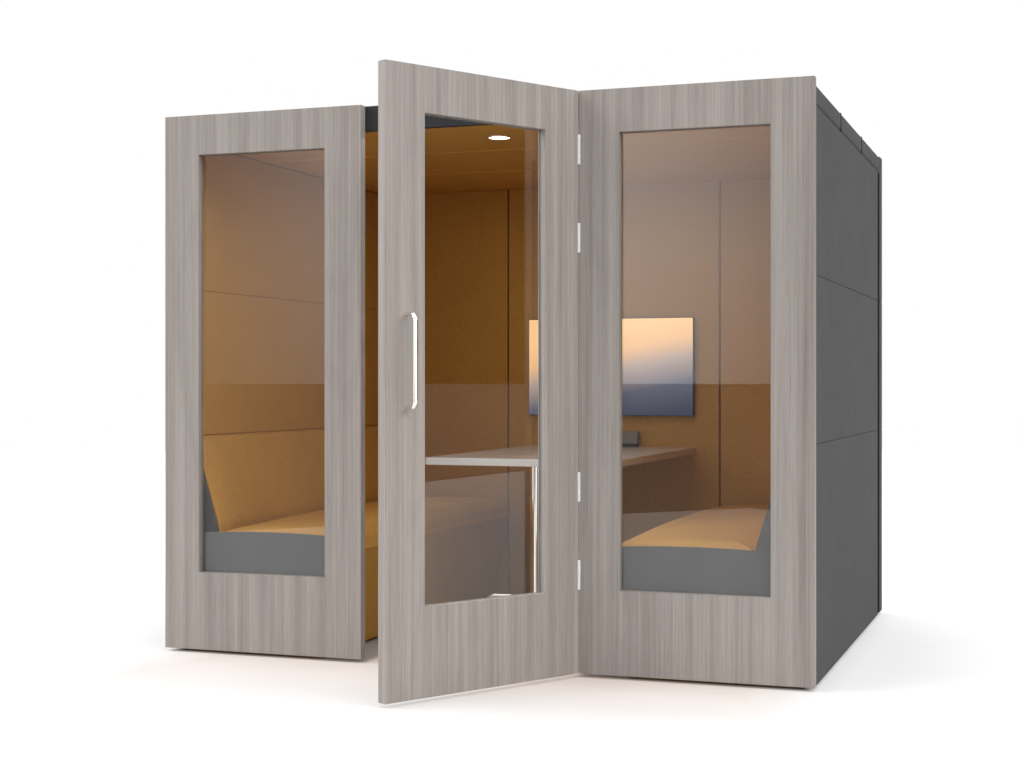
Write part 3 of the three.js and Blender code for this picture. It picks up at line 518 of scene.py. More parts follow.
def table_laminate():
    """Greige laminate with faint streaks, and a white edge band that shows only on faces that look to the
    front: its white is partly the band's own and partly painted light, as the side edges keep the greige as
    painted shade.
    """
    shader = Shader("table_laminate")
    streak = shader.noise((3, 60, 60), detail=4)
    fleck = shader.noise((300, 900, 900), detail=2)
    normal = shader.parts(shader.add("ShaderNodeNewGeometry").outputs["Normal"])
    # Painted light: the white band is kept to faces that look to the front, where light falls; side edges
    # keep the greige as painted shade
    edge = shader.spread(normal[Y], -0.9, -0.4, 0.5, 0.0)
    tone = shader.total((streak, 0.6), (fleck, 0.4), (edge, 1.0))
    shader.paint(tone, TABLE_TONES + TABLE_LIT_FRONT_EDGE_TONES, "Base Color")
    shader.feed(shader.spread(streak, 0.3, 0.7, 0.20, 0.28), "Roughness")
    shader.bump(fleck, 0.0001, 0.2)
    return shader.material


def screen_picture():
    """A lit pane with a plain gradient, warm at its upper edge and grey-blue at its lower one."""
    low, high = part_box("screen_pane")
    shader = Shader("screen_picture", Roughness=0.12, Emission_Strength=SCREEN_STRENGTH)
    shader.surface.inputs["Base Color"].default_value = colour(20, 20, 22)
    haze = shader.noise((1.6, 1.6, 2.4), detail=1)
    across, _, up = shader.parts(shader.place)
    height = shader.spread(up, low.z, high.z, 0.0, 0.92)
    lean = shader.spread(across, low.x, high.x, 0.24, -0.06)
    rise = shader.total((height, 1.0), (lean, 1.0), (haze, 0.06))
    shader.paint(rise, SCREEN_TONES, "Emission Color")
    return shader.material


def light_lens():
    shader = Shader("light_lens", Roughness=0.35, Emission_Strength=DOWNLIGHT_STRENGTH)
    frost = shader.noise((260, 260, 260), detail=2)
    shader.paint(frost, LENS_TONES, "Base Color", "Emission Color")
    return shader.material


def material_slots():
    """The finish of every slot in the record."""
    slots = {
        "wood_laminate": wood_laminate(),
        "glass": glass(),
        "table_laminate": table_laminate(),
        "screen": screen_picture(),
        "light_lens": light_lens(),
    }
    slots.update({name: fabric(name, *look) for name, look in FABRICS.items()})
    slots.update({name: smooth_finish(name, *look) for name, look in SMOOTH_FINISHES.items()})
    return slots


def block(low, high):
    """A plain block as a bmesh."""
    work = bmesh.new()
    bmesh.ops.create_cube(work, size=1)
    low, high = Vector(low), Vector(high)
    bmesh.ops.scale(work, vec=high - low, verts=work.verts)
    bmesh.ops.translate(work, vec=(low + high) / 2, verts=work.verts)
    return work


def round_edges(work, edges, radius):
    settings = {"segments": CORNER_STEPS, "profile": 0.5, "affect": "EDGES", "clamp_overlap": True}
    bmesh.ops.bevel(work, geom=list(edges), offset=radius, **settings)


def runs_along(edge, axis):
    """Whether an edge runs along one axis only."""
    step = edge.verts[1].co - edge.verts[0].co
    return all(abs(step[other]) < NEAR for other in (X, Y, Z) if other != axis)


def lies_at(edge, axis, places):
    """Whether both ends of an edge lie at one of the places along an axis."""
    return any(all(abs(v.co[axis] - place) < NEAR for v in edge.verts) for place in places)


def padded_block(low, high, axis, corner, seam):
    """A block whose edges along one axis are rounded by corner, and whose two ends by seam, which is less."""
    work = block(low, high)
    round_edges(work, [edge for edge in work.edges if runs_along(edge, axis)], corner)
    ends = [edge for edge in work.edges if lies_at(edge, axis, (low[axis], high[axis]))]
    round_edges(work, ends, seam)
    return work


def merged(parts):
    """Several bmeshes as one."""
    whole = bmesh.new()
    for part in parts:
        mesh = bpy.data.meshes.new("part")
        part.to_mesh(mesh)
        part.free()
        whole.from_mesh(mesh)
        bpy.data.meshes.remove(mesh)
    return whole


def ring_angles(count):
    """Angles that share a full turn evenly."""
    return [2 * math.pi * number / count for number in range(count)]


def turned(profile, sides=ROUND_SIDES):
    """A solid turned about the Z axis from its outline of (radius, height) points, open or closed."""
    work = bmesh.new()
    rings = []
    for radius, height in profile:
        angles = ring_angles(sides) if radius > NEAR else [0]
        rings.append([work.verts.new((radius * math.cos(a), radius * math.sin(a), height)) for a in angles])
    for lower, upper in zip(rings, rings[1:]):
        for side in range(sides):
            after = (side + 1) % sides
            corners = [lower[side % len(lower)], lower[after % len(lower)]]
            corners += [upper[after % len(upper)], upper[side % len(upper)]]
            distinct = list(dict.fromkeys(corners))
            if len(distinct) > 2:
                work.faces.new(distinct)
    bmesh.ops.remove_doubles(work, verts=work.verts, dist=NEAR / 10)
    bmesh.ops.recalc_face_normals(work, faces=work.faces)
    return work


def arc(centre, radius, start, end, steps=CORNER_STEPS):
    """Points of a circular arc in a plane, from one angle to another in degrees."""
    angles = [math.radians(start + (end - start) * step / steps) for step in range(steps + 1)]
    return [(centre[0] + radius * math.cos(a), centre[1] + radius * math.sin(a)) for a in angles]


def prism(outline, axis, low, high):
    """A flat outline, in the two axes after the given one, drawn out along that axis."""
    work = bmesh.new()
    first, second = (axis + 1) % 3, (axis + 2) % 3
    corners = []
    for place in outline:
        point = Vector()
        point[axis], point[first], point[second] = low, place[0], place[1]
        corners.append(work.verts.new(point))
    face = work.faces.new(corners)
    moved = bmesh.ops.extrude_face_region(work, geom=[face])["geom"]
    step = Vector()
    step[axis] = high - low
    bmesh.ops.translate(work, vec=step, verts=[v for v in moved if isinstance(v, bmesh.types.BMVert)])
    bmesh.ops.recalc_face_normals(work, faces=work.faces)
    return work


def skin(work, rings):
    """Faces between rings of as many points each, and over both ends."""
    for lower, upper in zip(rings, rings[1:]):
        for side in range(len(lower)):
            after = (side + 1) % len(lower)
            work.faces.new((lower[side], lower[after], upper[after], upper[side]))
    work.faces.new(rings[0])
    work.faces.new(rings[-1])
    bmesh.ops.recalc_face_normals(work, faces=work.faces)


def tube(path, radius):
    """A round bar along points that lie in one plane of constant X."""
    work = bmesh.new()
    across = Vector((1, 0, 0))
    rings = []
    for index, point in enumerate(path):
        ahead = path[min(index + 1, len(path) - 1)] - path[max(index - 1, 0)]
        normal = across.cross(ahead).normalized()
        spokes = [across * math.cos(a) + normal * math.sin(a) for a in ring_angles(SMALL_SIDES)]
        rings.append([work.verts.new(point + spoke * radius) for spoke in spokes])
    skin(work, rings)
    return work


def moved(work, *matrices):
    """The bmesh after each matrix in turn."""
    for matrix in matrices:
        bmesh.ops.transform(work, matrix=matrix, verts=work.verts)
    return work


def mesh_of(work, name):
    """A mesh with smooth faces and sharp corners."""
    mesh = bpy.data.meshes.new(name)
    work.to_mesh(mesh)
    work.free()
    mesh.shade_smooth()
    mesh.set_sharp_from_angle(angle=SHARP_ANGLE)
    return mesh


def shown(name, data):
    """A new object in the scene."""
    piece = bpy.data.objects.new(name, data)
    bpy.context.scene.collection.objects.link(piece)
    return piece


def new_piece(name, form, body, slot):
    """A piece that rides on a body, with a slot's finish. Its form is a mesh or a bmesh."""
    mesh = mesh_of(form, name) if isinstance(form, bmesh.types.BMesh) else form
    mesh.materials.clear()
    mesh.materials.append(finishes[slot])
    piece = shown(name, mesh)
    even = piece.modifiers.new("even_normals", "WEIGHTED_NORMAL")
    even.keep_sharp = True
    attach(piece, body)
    return piece


def stand_in(node, form, slot):
    """A piece that stands for a CAD node and rides on the node's body."""
    piece = new_piece(node + "_dressed", form, frame["nodes"][node]["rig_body"], slot)
    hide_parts(node)
    return piece


def evaluated(piece):
    """The mesh of an object with its modifiers applied."""
    graph = bpy.context.evaluated_depsgraph_get()
    return bpy.data.meshes.new_from_object(piece.evaluated_get(graph))


def cut(work, *cutters):
    """The mesh of a bmesh less the cutting ones."""
    piece = shown("cut_piece", mesh_of(work, "cut_piece"))
    tools = [shown("cutter", mesh_of(cutter, "cutter")) for cutter in cutters]
    for tool in tools:
        step = piece.modifiers.new("cut", "BOOLEAN")
        step.operation = "DIFFERENCE"
        step.object = tool
        step.solver = "EXACT"
    result = evaluated(piece)
    for thing in (piece, *tools):
        bpy.data.objects.remove(thing)
    result.shade_smooth()
    result.set_sharp_from_angle(angle=SHARP_ANGLE)
    return result


def both_sides(mesh):
    """The mesh for the pod's right side, and its mirror image for the left."""
    other = mesh.copy()
    other.transform(Matrix.Scale(-1, 4, (1, 0, 0)))
    other.flip_normals()
    return ("right", mesh), ("left", other)


def above_middle(node, height):
    """The move from the origin to a height at the middle of a CAD node's box."""
    low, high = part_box(node)
    return Matrix.Translation(((low.x + high.x) / 2, (low.y + high.y) / 2, height))


def turned_stand_in(node, profile, height, slot, sides=ROUND_SIDES):
    """A turned piece that stands for a CAD node, with its profile set at a height."""
    stand_in(node, moved(turned(profile, sides), above_middle(node, height)), slot)


def dress(slot, *nodes):
    """Gives CAD nodes that stay in view the finish of a slot."""
    for node in nodes:
        for place in frame["nodes"][node].material_slots:
            place.material = finishes[slot]


def side_walls():
    """Side walls that end in a dark post, set back in a real recess from the rear wall's corner; the post's
    black is painted shade, so that the gap reads dark.
    """
    for row in ("lower", "middle", "upper"):
        for side in ("left", "right"):
            node = f"{side}_wall_{row}"
            low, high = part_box(node)
            work = padded_block(low, high - Vector((0, POST_LENGTH, 0)), Z, WALL_ROUND, ROW_ROUND)
            stand_in(node, work, "grey_fabric")
    low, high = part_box("right_wall_lower")
    bottom, top = low.z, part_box("right_wall_upper")[1].z
    front, rear = high.y - POST_LENGTH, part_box("rear_wall_lower")[0].y - RECESS_GAP
    face, lip = high.x - JOINT_DEPTH, high.x - JOINT_CLEAR
    outline = [(low.x, front), (face, front), (face, rear - JOINT_RETURN), (lip, rear - JOINT_RETURN)]
    outline += [(lip, rear), (low.x, rear)]
    # Painted shade: the post is black so that the recess between the side wall and the rear wall reads dark
    post = mesh_of(prism(outline, Z, bottom, top), "corner_post")
    for side, mesh in both_sides(post):
        new_piece(f"{side}_corner_post", mesh, "shell", "black_plastic")


def rear_wall():
    lining_low, lining_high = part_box("rear_lining_left")
    ceiling_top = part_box("ceiling_lining")[1].z
    half = -lining_low.x + RECESS_GAP
    for row in ("lower", "middle", "upper"):
        node = f"rear_wall_{row}"
        low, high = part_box(node)
        work = padded_block(low, high, Z, REAR_ROUND, ROW_ROUND)
        corner = (half, lining_high.y + RECESS_GAP, ceiling_top + RECESS_GAP)
        recess = block((-half, low.y - OVERCUT, low.z - OVERCUT), corner)
        stand_in(node, cut(work, recess), "grey_fabric")


def panel_row(low, high, axis, seams, gap, along, corner):
    """Padded panels that share a box along an axis: they part at the seams, and run along another axis."""
    ends = [low[axis], *seams, high[axis]]
    panels = []
    for start, end in zip(ends, ends[1:]):
        panel_low, panel_high = low.copy(), high.copy()
        panel_low[axis], panel_high[axis] = start + gap / 2, end - gap / 2
        panels.append(padded_block(panel_low, panel_high, along, corner, LINING_EDGE))
    return panels


def side_linings():
    """Side linings, each a column of padded panels that meet at the wall's seams."""
    seams = [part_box(f"left_wall_{row}")[1].z for row in ("lower", "middle")]
    for side in ("left", "right"):
        node = f"{side}_wall_lining"
        rows = panel_row(*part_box(node), Z, seams, LINING_SEAM, Y, LINING_ROUND)
        stand_in(node, merged(rows), "mustard_fabric")


def rear_linings():
    inset = Vector((REAR_SEAM, 0, 0))
    for column in ("left", "centre", "right"):
        node = f"rear_lining_{column}"
        low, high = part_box(node)
        work = padded_block(low + inset, high - inset, Z, LINING_ROUND, LINING_EDGE)
        stand_in(node, work, "mustard_fabric")


def ceiling_holes(bottom, top):
    """Cutting posts for the downlight and the fan."""
    posts = []
    for node, radius in (("downlight_ring", RING_SLEEVE), ("fan_grille", FAN_DUCT)):
        reach = radius + CEILING_HOLE_GAP
        post = turned([(0, bottom), (reach, bottom), (reach, top), (0, top)])
        posts.append(moved(post, above_middle(node, 0)))
    return posts


def ceiling():
    """Ceiling lining in three padded panels, with a welt along each seam."""
    low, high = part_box("ceiling_lining")
    seams = [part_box(f"roof_panel_{number}")[1].y for number in (1, 2)]
    panels = panel_row(low, high, Y, seams, CEILING_SEAM, X, CEILING_ROUND)
    for seam in seams:
        welt = arc((seam, low.z + CEILING_SEAM), CEILING_WELT + CEILING_SEAM, *WELT_ANGLES, WELT_STEPS)
        panels.append(prism(welt, X, low.x, high.x))
    holes = ceiling_holes(low.z - OVERCUT, high.z + OVERCUT)
    stand_in("ceiling_lining", cut(merged(panels), *holes), "mustard_fabric")


def roof_joint(number, low, high):
    """The dark strip in the gap behind a roof panel, with a lip up the front of the next panel. Its black is
    painted shade, so that the gap reads dark.
    """
    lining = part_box("ceiling_lining")[1]
    half, soffit = lining.x + RECESS_GAP, lining.z + RECESS_GAP
    strips = []
    front, rear = high.y - ROOF_GAP / 2, high.y + ROOF_GAP / 2
    for depth, start in ((JOINT_DEPTH, front), (JOINT_CLEAR, rear - JOINT_RETURN)):
        left, right, top = low.x + depth, high.x - depth, high.z - depth
        outline = [(left, low.z), (left, top), (right, top), (right, low.z)]
        outline += [(half, low.z), (half, soffit), (-half, soffit), (-half, low.z)]
        strips.append(prism([(z, x) for x, z in outline], Y, start, rear))
    # Painted shade: black, so that the gap between the roof panels reads dark
    new_piece(f"roof_joint_{number}", merged(strips), "shell", "black_plastic")


def roof_cutters(number, low, high):
    """What a roof panel makes room for: the ceiling lining, the door's header and the fan."""
    lining_low, lining_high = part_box("ceiling_lining")
    half = lining_high.x + RECESS_GAP
    recess_low = (-half, lining_low.y - RECESS_GAP, low.z - OVERCUT)
    cutters = [block(recess_low, (half, high.y + OVERCUT, lining_high.z + RECESS_GAP))]
    if number == 1:
        header_low, header_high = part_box("door_header")
        notch_low = (header_low.x - RECESS_GAP, low.y - OVERCUT, low.z - OVERCUT)
        notch_high = (header_high.x + RECESS_GAP, header_high.y + RECESS_GAP, high.z + OVERCUT)
        cutters.append(block(notch_low, notch_high))
    if number == 2:
        cutters.append(ceiling_holes(low.z - OVERCUT, high.z + OVERCUT)[1])
    return cutters


def roof():
    """Three roof panels with a joint between each two, and the header over the doorway."""
    for number in (1, 2, 3):
        node = f"roof_panel_{number}"
        low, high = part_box(node)
        front = low + Vector((0, 0 if number == 1 else ROOF_GAP / 2, 0))
        rear = high - Vector((0, 0 if number == 3 else ROOF_GAP / 2, 0))
        work = padded_block(front, rear, Y, ROOF_ROUND, ROOF_SEAM_ROUND)
        stand_in(node, cut(work, *roof_cutters(number, low, high)), "grey_fabric")
        if number < 3:
            roof_joint(number, low, high)
    header = padded_block(*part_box("door_header"), X, HEADER_ROUND, HEADER_ROUND / 2)
    stand_in("door_header", header, "dark_steel")


def grid_box(lines):
    """A closed box with grid lines at the given places along each axis."""
    work = bmesh.new()
    made = {}
    counts = [len(line) - 1 for line in lines]

    def corner(place):
        if place not in made:
            made[place] = work.verts.new([lines[axis][place[axis]] for axis in (X, Y, Z)])
        return made[place]

    for axis in (X, Y, Z):
        first, second = (axis + 1) % 3, (axis + 2) % 3
        for level, a, b in itertools.product((0, counts[axis]), range(counts[first]), range(counts[second])):
            quad = []
            for step_a, step_b in ((0, 0), (1, 0), (1, 1), (0, 1)):
                place = [0, 0, 0]
                place[axis], place[first], place[second] = level, a + step_a, b + step_b
                quad.append(corner(tuple(place)))
            work.faces.new(quad if level else quad[::-1])
    return work


def grid_line(half, radius, inner):
    """Places along an axis from -half to half, close together over the round corners."""
    angles = [math.pi / 2 * (1 - turn / (CORNER_TURNS - 1)) for turn in range(CORNER_TURNS)]
    turns = [half - radius * (1 - math.sin(a)) for a in angles]
    middle = [((step + 1) / (inner + 1) * 2 - 1) * (half - radius) for step in range(inner)]
    return [-place for place in turns] + middle + turns[::-1]


def cushion(depth, length, face_at, radius, lift):
    """A cushion lying flat: its face stands at face_at(u, v), where u and v run from -1 to 1.

    The radius rounds its upright corners. Its upper edges are rounded over lift, a share of its thickness.
    """
    half = Vector((depth / 2, length / 2, 0.5))
    columns, rows = round(depth / CLOTH_GRID), round(length / CLOTH_GRID)
    lines = [grid_line(half.x, radius, columns), grid_line(half.y, radius, rows)]
    lines.append([place / CUSHION_LAYERS * (1 - lift) - half.z for place in range(CUSHION_LAYERS)])
    lines[Z] += grid_line(half.z, lift, 0)[-CORNER_TURNS:]
    work = grid_box(lines)
    core = (half.x - radius, half.y - radius, half.z - lift)
    unit = (radius, radius, lift)
    for vert in work.verts:
        inside = Vector([max(-most, min(most, place)) for most, place in zip(core, vert.co)])
        inside.z = min(core[Z], vert.co.z)
        out = Vector([(vert.co[axis] - inside[axis]) / unit[axis] for axis in (X, Y, Z)])
        if out.length > 0:
            out *= max(map(abs, out)) / out.length
        point = inside + Vector([out[axis] * unit[axis] for axis in (X, Y, Z)])
        u, v = point.x / half.x, point.y / half.y
        drawn_x = point.x - SIDE_DRAW * u * (1 - v * v)
        drawn_y = point.y - SIDE_DRAW * v * (1 - u * u)
        vert.co = (drawn_x, drawn_y, (point.z + half.z) * face_at(u, v))
    return work


def rolled(inward, reach):
    """How far, from 0 to 1, a face has risen at a place inward from an edge that it rolls over."""
    share = min(1.0, max(0.0, inward / reach))
    return math.sqrt(1 - (1 - share) ** 2)


def seat_shape(low, high):
    """The right seat: its face is crowned across and along, and falls over the bench's front."""

    def face_at(u, v):
        thickness = SEAT_EDGE + SEAT_CROWN * (1 - u * u) + SEAT_SWELL * (1 - v * v) - START_SHRINK
        return SEAT_LIP + (thickness - SEAT_LIP) * rolled((u + 1) * (high.x - low.x) / 2, SEAT_FALL)

    middle = (low + high) / 2
    work = cushion(high.x - low.x, high.y - low.y, face_at, SEAT_ROUND, SEAT_ROUND / SEAT_EDGE)
    return moved(work, Matrix.Translation((middle.x, middle.y, low.z)))


def back_shape(low, high):
    """The right back cushion: it stands straight behind the seat, leans back and rolls over at the top."""
    height = high.z - low.z

    def face_at(u, v):
        level = (u + 1) / 2 * height
        climb = max(0.0, level - BACK_STRAIGHT) / (height - BACK_STRAIGHT)
        swell = 4 * BACK_CROWN * climb * (1 - climb) * (1 - v ** BACK_CROWN_POWER)
        thickness = BACK_FOOT - (BACK_FOOT - BACK_TOP) * climb + swell - START_SHRINK
        return BACK_LIP + (thickness - BACK_LIP) * rolled(height - level, BACK_ROLL)

    middle = (low + high) / 2
    work = cushion(height, high.y - low.y, face_at, BACK_ROUND, BACK_ROUND / BACK_FOOT)
    upright = Matrix.Rotation(-math.pi / 2, 4, "Y")
    return moved(work, upright, Matrix.Translation((high.x, middle.y, middle.z)))


def blown_up(mesh, is_held):
    """The mesh after its cloth was blown up a little, with the held points left where they are."""
    piece = shown("cloth_piece", mesh)
    held = piece.vertex_groups.new(name="held")
    held.add([vert.index for vert in mesh.vertices if is_held(vert.co)], 1.0, "REPLACE")
    cloth = piece.modifiers.new("cloth", "CLOTH")
    cloth.settings.vertex_group_mass = "held"
    cloth.settings.use_pressure = True
    cloth.settings.uniform_pressure_force = CLOTH_PRESSURE
    cloth.settings.effector_weights.gravity = 0
    for number in range(1, CLOTH_FRAMES + 1):
        bpy.context.scene.frame_set(number)
    swollen = evaluated(piece)
    bpy.data.objects.remove(piece)
    bpy.context.scene.frame_set(1)
    return swollen


def upholstered(work, name, low, high, is_held):
    """A cushion's mesh, swollen as cloth over foam and kept inside the room that it has."""
    mesh = mesh_of(work, name)
    swollen = blown_up(mesh, is_held)
    for vert, after in zip(mesh.vertices, swollen.vertices):
        step = after.co - vert.co
        if step.length > CLOTH_CAP:
            step *= CLOTH_CAP / step.length
        vert.co += step
    bpy.data.meshes.remove(swollen)
    for vert in mesh.vertices:
        vert.co = [min(max(vert.co[axis], low[axis]), high[axis]) for axis in (X, Y, Z)]
    mesh.shade_smooth()
    return mesh


def cushions():
    low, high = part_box("right_seat_cushion")
    seat_floor = low.z + HELD_DEPTH
    room = high + Vector((0, 0, CUSHION_RISE))
    seat = upholstered(seat_shape(low, high), "seat", low, room, lambda place: place.z < seat_floor)
    low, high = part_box("right_back_cushion")
    wall_side = high.x - HELD_DEPTH
    room = low - Vector((CUSHION_RISE, 0, 0))
    back = upholstered(back_shape(low, high), "back", room, high, lambda place: place.x > wall_side)
    for part, mesh in (("seat", seat), ("back", back)):
        for side, form in both_sides(mesh):
            piece = stand_in(f"{side}_{part}_cushion", form, "mustard_fabric")
            finer = piece.modifiers.new("finer", "SUBSURF")
            finer.levels = finer.render_levels = 1


def bench_front(height, top):
    """Where the right bench's leaning front stands at a height."""
    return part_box("right_bench_plinth")[0].x + BENCH_DRAW + BENCH_LEAN * (1 - height / top)


def bench_end_outline():
    """The right end panel's outline as (z, x) places: leaning front, rolled seat edge, seat and back."""
    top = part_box("right_bench_plinth")[1].z
    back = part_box("right_bench_end")[1].x
    front = bench_front(top, top)
    outline = [(END_TOE, back), (END_TOE, bench_front(END_TOE, top)), (top, front)]
    shares = [step / END_STEPS for step in range(END_STEPS + 1)]
    edge = top + SEAT_LIP
    outline += [(edge + (END_SEAT - edge) * rolled(s, 1.0), front + SEAT_FALL * s) for s in shares]
    start = front + SEAT_FALL
    outline += [(END_SEAT + 4 * END_CROWN * s * (1 - s), start + (END_FOOT - start) * s) for s in shares[1:]]
    return outline + [(END_TOP, back - BACK_TOP), (END_TOP, back)]


def benches():
    low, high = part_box("right_bench_plinth")
    toe = low.z + BENCH_TOE_HEIGHT
    toe_edge, seat_edge = bench_front(toe, high.z), bench_front(high.z, high.z)
    outline = [(low.z, high.x), (low.z, toe_edge + BENCH_TOE_DEPTH), (toe, toe_edge + BENCH_TOE_DEPTH)]
    outline += [(toe, toe_edge), (high.z, seat_edge), (high.z, high.x)]
    plinth = prism(outline, Y, low.y, high.y)
    low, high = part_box("right_bench_end")
    end = prism(bench_end_outline(), Y, low.y, high.y)
    round_edges(end, [edge for edge in end.edges if not runs_along(edge, Y)], BENCH_EDGE)
    for part, work, slot in (("plinth", plinth, "mustard_fabric"), ("end", end, "grey_fabric")):
        for side, form in both_sides(mesh_of(work, part)):
            stand_in(f"{side}_bench_{part}", form, slot)


def hinge_screws(side, half):
    """Screw heads with a bar across each, one above the other, on a leaf's face in the gap."""
    dome = [(0, SCREW_RISE), (SCREW_RADIUS * SCREW_FLAT, SCREW_RISE), (SCREW_RADIUS, 0)]
    dome += [(SCREW_RADIUS, -HINGE_EDGE), (0, -HINGE_EDGE)]
    heads = []
    for number in range(SCREWS):
        head = turned(dome, SMALL_SIDES)
        bar = block((-SCREW_RADIUS, -HINGE_EDGE / 2, 0), (SCREW_RADIUS, HINGE_EDGE / 2, SCREW_BAR_RISE))
        height = half * (number - (SCREWS - 1) / 2) * SCREW_SPREAD
        face = Matrix.Rotation(-side * math.pi / 2, 4, "Y")
        middle = (HINGE_PLATE_FRONT + HINGE_PLATE_REAR) / 2
        spot = Matrix.Translation((side * HINGE_HALF_GAP, middle, height))
        heads.append(moved(merged([head, bar]), face, spot))
    return heads


def hinge_leaf(side, length):
    """A leaf about the pin: side is 1 for the frame's leaf and -1 for the door's."""
    half = length / 2
    inner, outer = side * HINGE_HALF_GAP, side * (HINGE_HALF_GAP + HINGE_PLATE)
    left, right = min(inner, outer), max(inner, outer)
    plate = padded_block(
        (left, HINGE_PLATE_FRONT, -half), (right, HINGE_PLATE_REAR, half), X, HINGE_EDGE * 2, HINGE_EDGE
    )
    parts = [plate, *hinge_screws(side, half)]
    pitch = (length + HINGE_RUN) / KNUCKLES
    for index in range(0 if side > 0 else 1, KNUCKLES, 2):
        bottom = index * pitch - half
        top = bottom + pitch - HINGE_RUN
        ring = KNUCKLE_RADIUS - KNUCKLE_EDGE
        profile = [(0, bottom), *arc((ring, bottom + KNUCKLE_EDGE), KNUCKLE_EDGE, -90, 0)]
        profile += [*arc((ring, top - KNUCKLE_EDGE), KNUCKLE_EDGE, 0, 90), (0, top)]
        parts.append(turned(profile, SMALL_SIDES))
        parts.append(block((left, 0, bottom), (right, HINGE_PLATE_FRONT + HINGE_PLATE, top)))
    return merged(parts)


def hinges():
    for number in (1, 2, 3, 4):
        low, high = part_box(f"hinge_{number}_frame_leaf")
        length = high.z - low.z
        height = Matrix.Translation((0, 0, (low.z + high.z) / 2))
        for body, side, place in (("frame", 1, pin_place), ("door", -1, door_place)):
            leaf = moved(hinge_leaf(side, length), height, place)
            stand_in(f"hinge_{number}_{body}_leaf", leaf, "white_metal")


def handle():
    low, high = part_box("pull_handle")
    lower, upper = low.z + HANDLE_RADIUS, high.z - HANDLE_RADIUS
    turn = HANDLE_BEND - HANDLE_STANDOFF
    path = [(-RECESS_GAP, lower), (turn + HANDLE_STRAIGHT, lower)]
    path += arc((turn, lower + HANDLE_BEND), HANDLE_BEND, -90, -180, HANDLE_BEND_STEPS)
    path += arc((turn, upper - HANDLE_BEND), HANDLE_BEND, 180, 90, HANDLE_BEND_STEPS)
    path += [(turn + HANDLE_STRAIGHT, upper), (-RECESS_GAP, upper)]
    points = [Vector((HANDLE_ALONG, y, z)) for y, z in path]
    stand_in("pull_handle", moved(tube(points, HANDLE_RADIUS), door_place), "chrome")
    for name, height in (("lower", lower), ("upper", upper)):
        dome = arc((BOLT_RADIUS - BOLT_ROUND, BOLT_RISE - BOLT_ROUND), BOLT_ROUND, 0, 90)
        cap = turned([(0, 0), (BOLT_RADIUS, 0), *dome, (0, BOLT_RISE)], SMALL_SIDES)
        inward = Matrix.Rotation(-math.pi / 2, 4, "X")
        spot = Matrix.Translation((HANDLE_ALONG, DOOR_THICKNESS + RECESS_GAP, height))
        stand_in(f"handle_bolt_{name}", moved(cap, inward, spot, door_place), "chrome")


def door_seals():
    """A seal behind the door's hinged edge, and one on the panel's edge that the free side meets."""
    panel_low, panel_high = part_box("right_front_panel")
    front = panel_high.y + RECESS_GAP
    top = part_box("door_header")[0].z - RECESS_GAP
    low = (panel_low.x - SEAL_LAP, front, panel_low.z)
    high = (panel_low.x + SEAL_HOLD, front + SEAL_THICKNESS, top)
    hinged = padded_block(low, high, Z, SEAL_EDGE, SEAL_EDGE / 2)
    panel_low, panel_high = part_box("left_front_panel")
    low = (panel_high.x, panel_low.y + EDGE_SEAL_INSET, panel_low.z + EDGE_SEAL_INSET)
    high = (panel_high.x + EDGE_SEAL, panel_high.y - EDGE_SEAL_INSET, panel_high.z - EDGE_SEAL_INSET)
    free = padded_block(low, high, Z, EDGE_SEAL_INSET, EDGE_SEAL_INSET / 2)
    for name, work in (("hinge_seal", hinged), ("latch_seal", free)):
        new_piece(name, work, "shell", "gasket_rubber")


def table_top():
    low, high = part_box("table_top")
    corner = TABLE_CORNER
    outline = [(high.x, high.y), (low.x, high.y)]
    outline += arc((low.x + corner, low.y + corner), corner, 180, 270, ROUND_STEPS)
    outline += arc((high.x - corner, low.y + corner), corner, 270, 360, ROUND_STEPS)
    top = prism(outline, Z, low.z, high.z)
    round_edges(top, [edge for edge in top.edges if lies_at(edge, Z, (low.z, high.z))], TABLE_EDGE)
    stand_in("table_top", top, "table_laminate")


def table_stand():
    """Column with a flange under the table top, on a round foot."""
    low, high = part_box("table_column")
    flange = high.z - FLANGE_THICKNESS
    profile = [(0, low.z), (COLUMN_RADIUS, low.z)]
    profile += arc((COLUMN_RADIUS + FILLET, flange - FILLET), FILLET, 180, 90)
    profile += arc((FLANGE_RADIUS - FLANGE_EDGE, flange + FLANGE_EDGE), FLANGE_EDGE, -90, 0)
    profile += [(FLANGE_RADIUS, high.z), (0, high.z)]
    turned_stand_in("table_column", profile, 0, "chrome")

    low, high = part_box("table_foot")
    radius = (high.x - low.x) / 2
    profile = [(0, low.z), (radius, low.z)]
    profile += arc((radius - FOOT_BEVEL, high.z - FOOT_BEVEL), FOOT_BEVEL, 0, 90, ROUND_STEPS)
    profile.append((0, high.z))
    turned_stand_in("table_foot", profile, 0, "chrome", WIDE_SIDES)


def screen():
    housing = padded_block(*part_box("screen_housing"), Y, SCREEN_ROUND, SCREEN_ROUND / 2)
    stand_in("screen_housing", housing, "black_plastic")
    pane = padded_block(*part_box("screen_pane"), Y, SCREEN_ROUND, PANE_ROUND)
    stand_in("screen_pane", pane, "screen")


def power_module():
    low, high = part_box("power_module")
    shoulder = low.z + MODULE_FOOT
    slope = low.y + MODULE_SLOPE
    outline = [(high.y, shoulder), (high.y, high.z), (slope, high.z), (low.y, shoulder)]
    wedge = prism(outline, X, low.x, high.x)
    round_edges(wedge, wedge.edges, MODULE_ROUND)
    stand_in("power_module", wedge, "grey_plastic")
    foot_low = (low.x + MODULE_FOOT_INSET, low.y + MODULE_FOOT_INSET, low.z)
    foot_high = (high.x - MODULE_FOOT_INSET, high.y - MODULE_FOOT_INSET, shoulder)
    foot = padded_block(foot_low, foot_high, Z, MODULE_ROUND, PANE_ROUND)
    new_piece("power_module_foot", foot, "shell", "black_plastic")


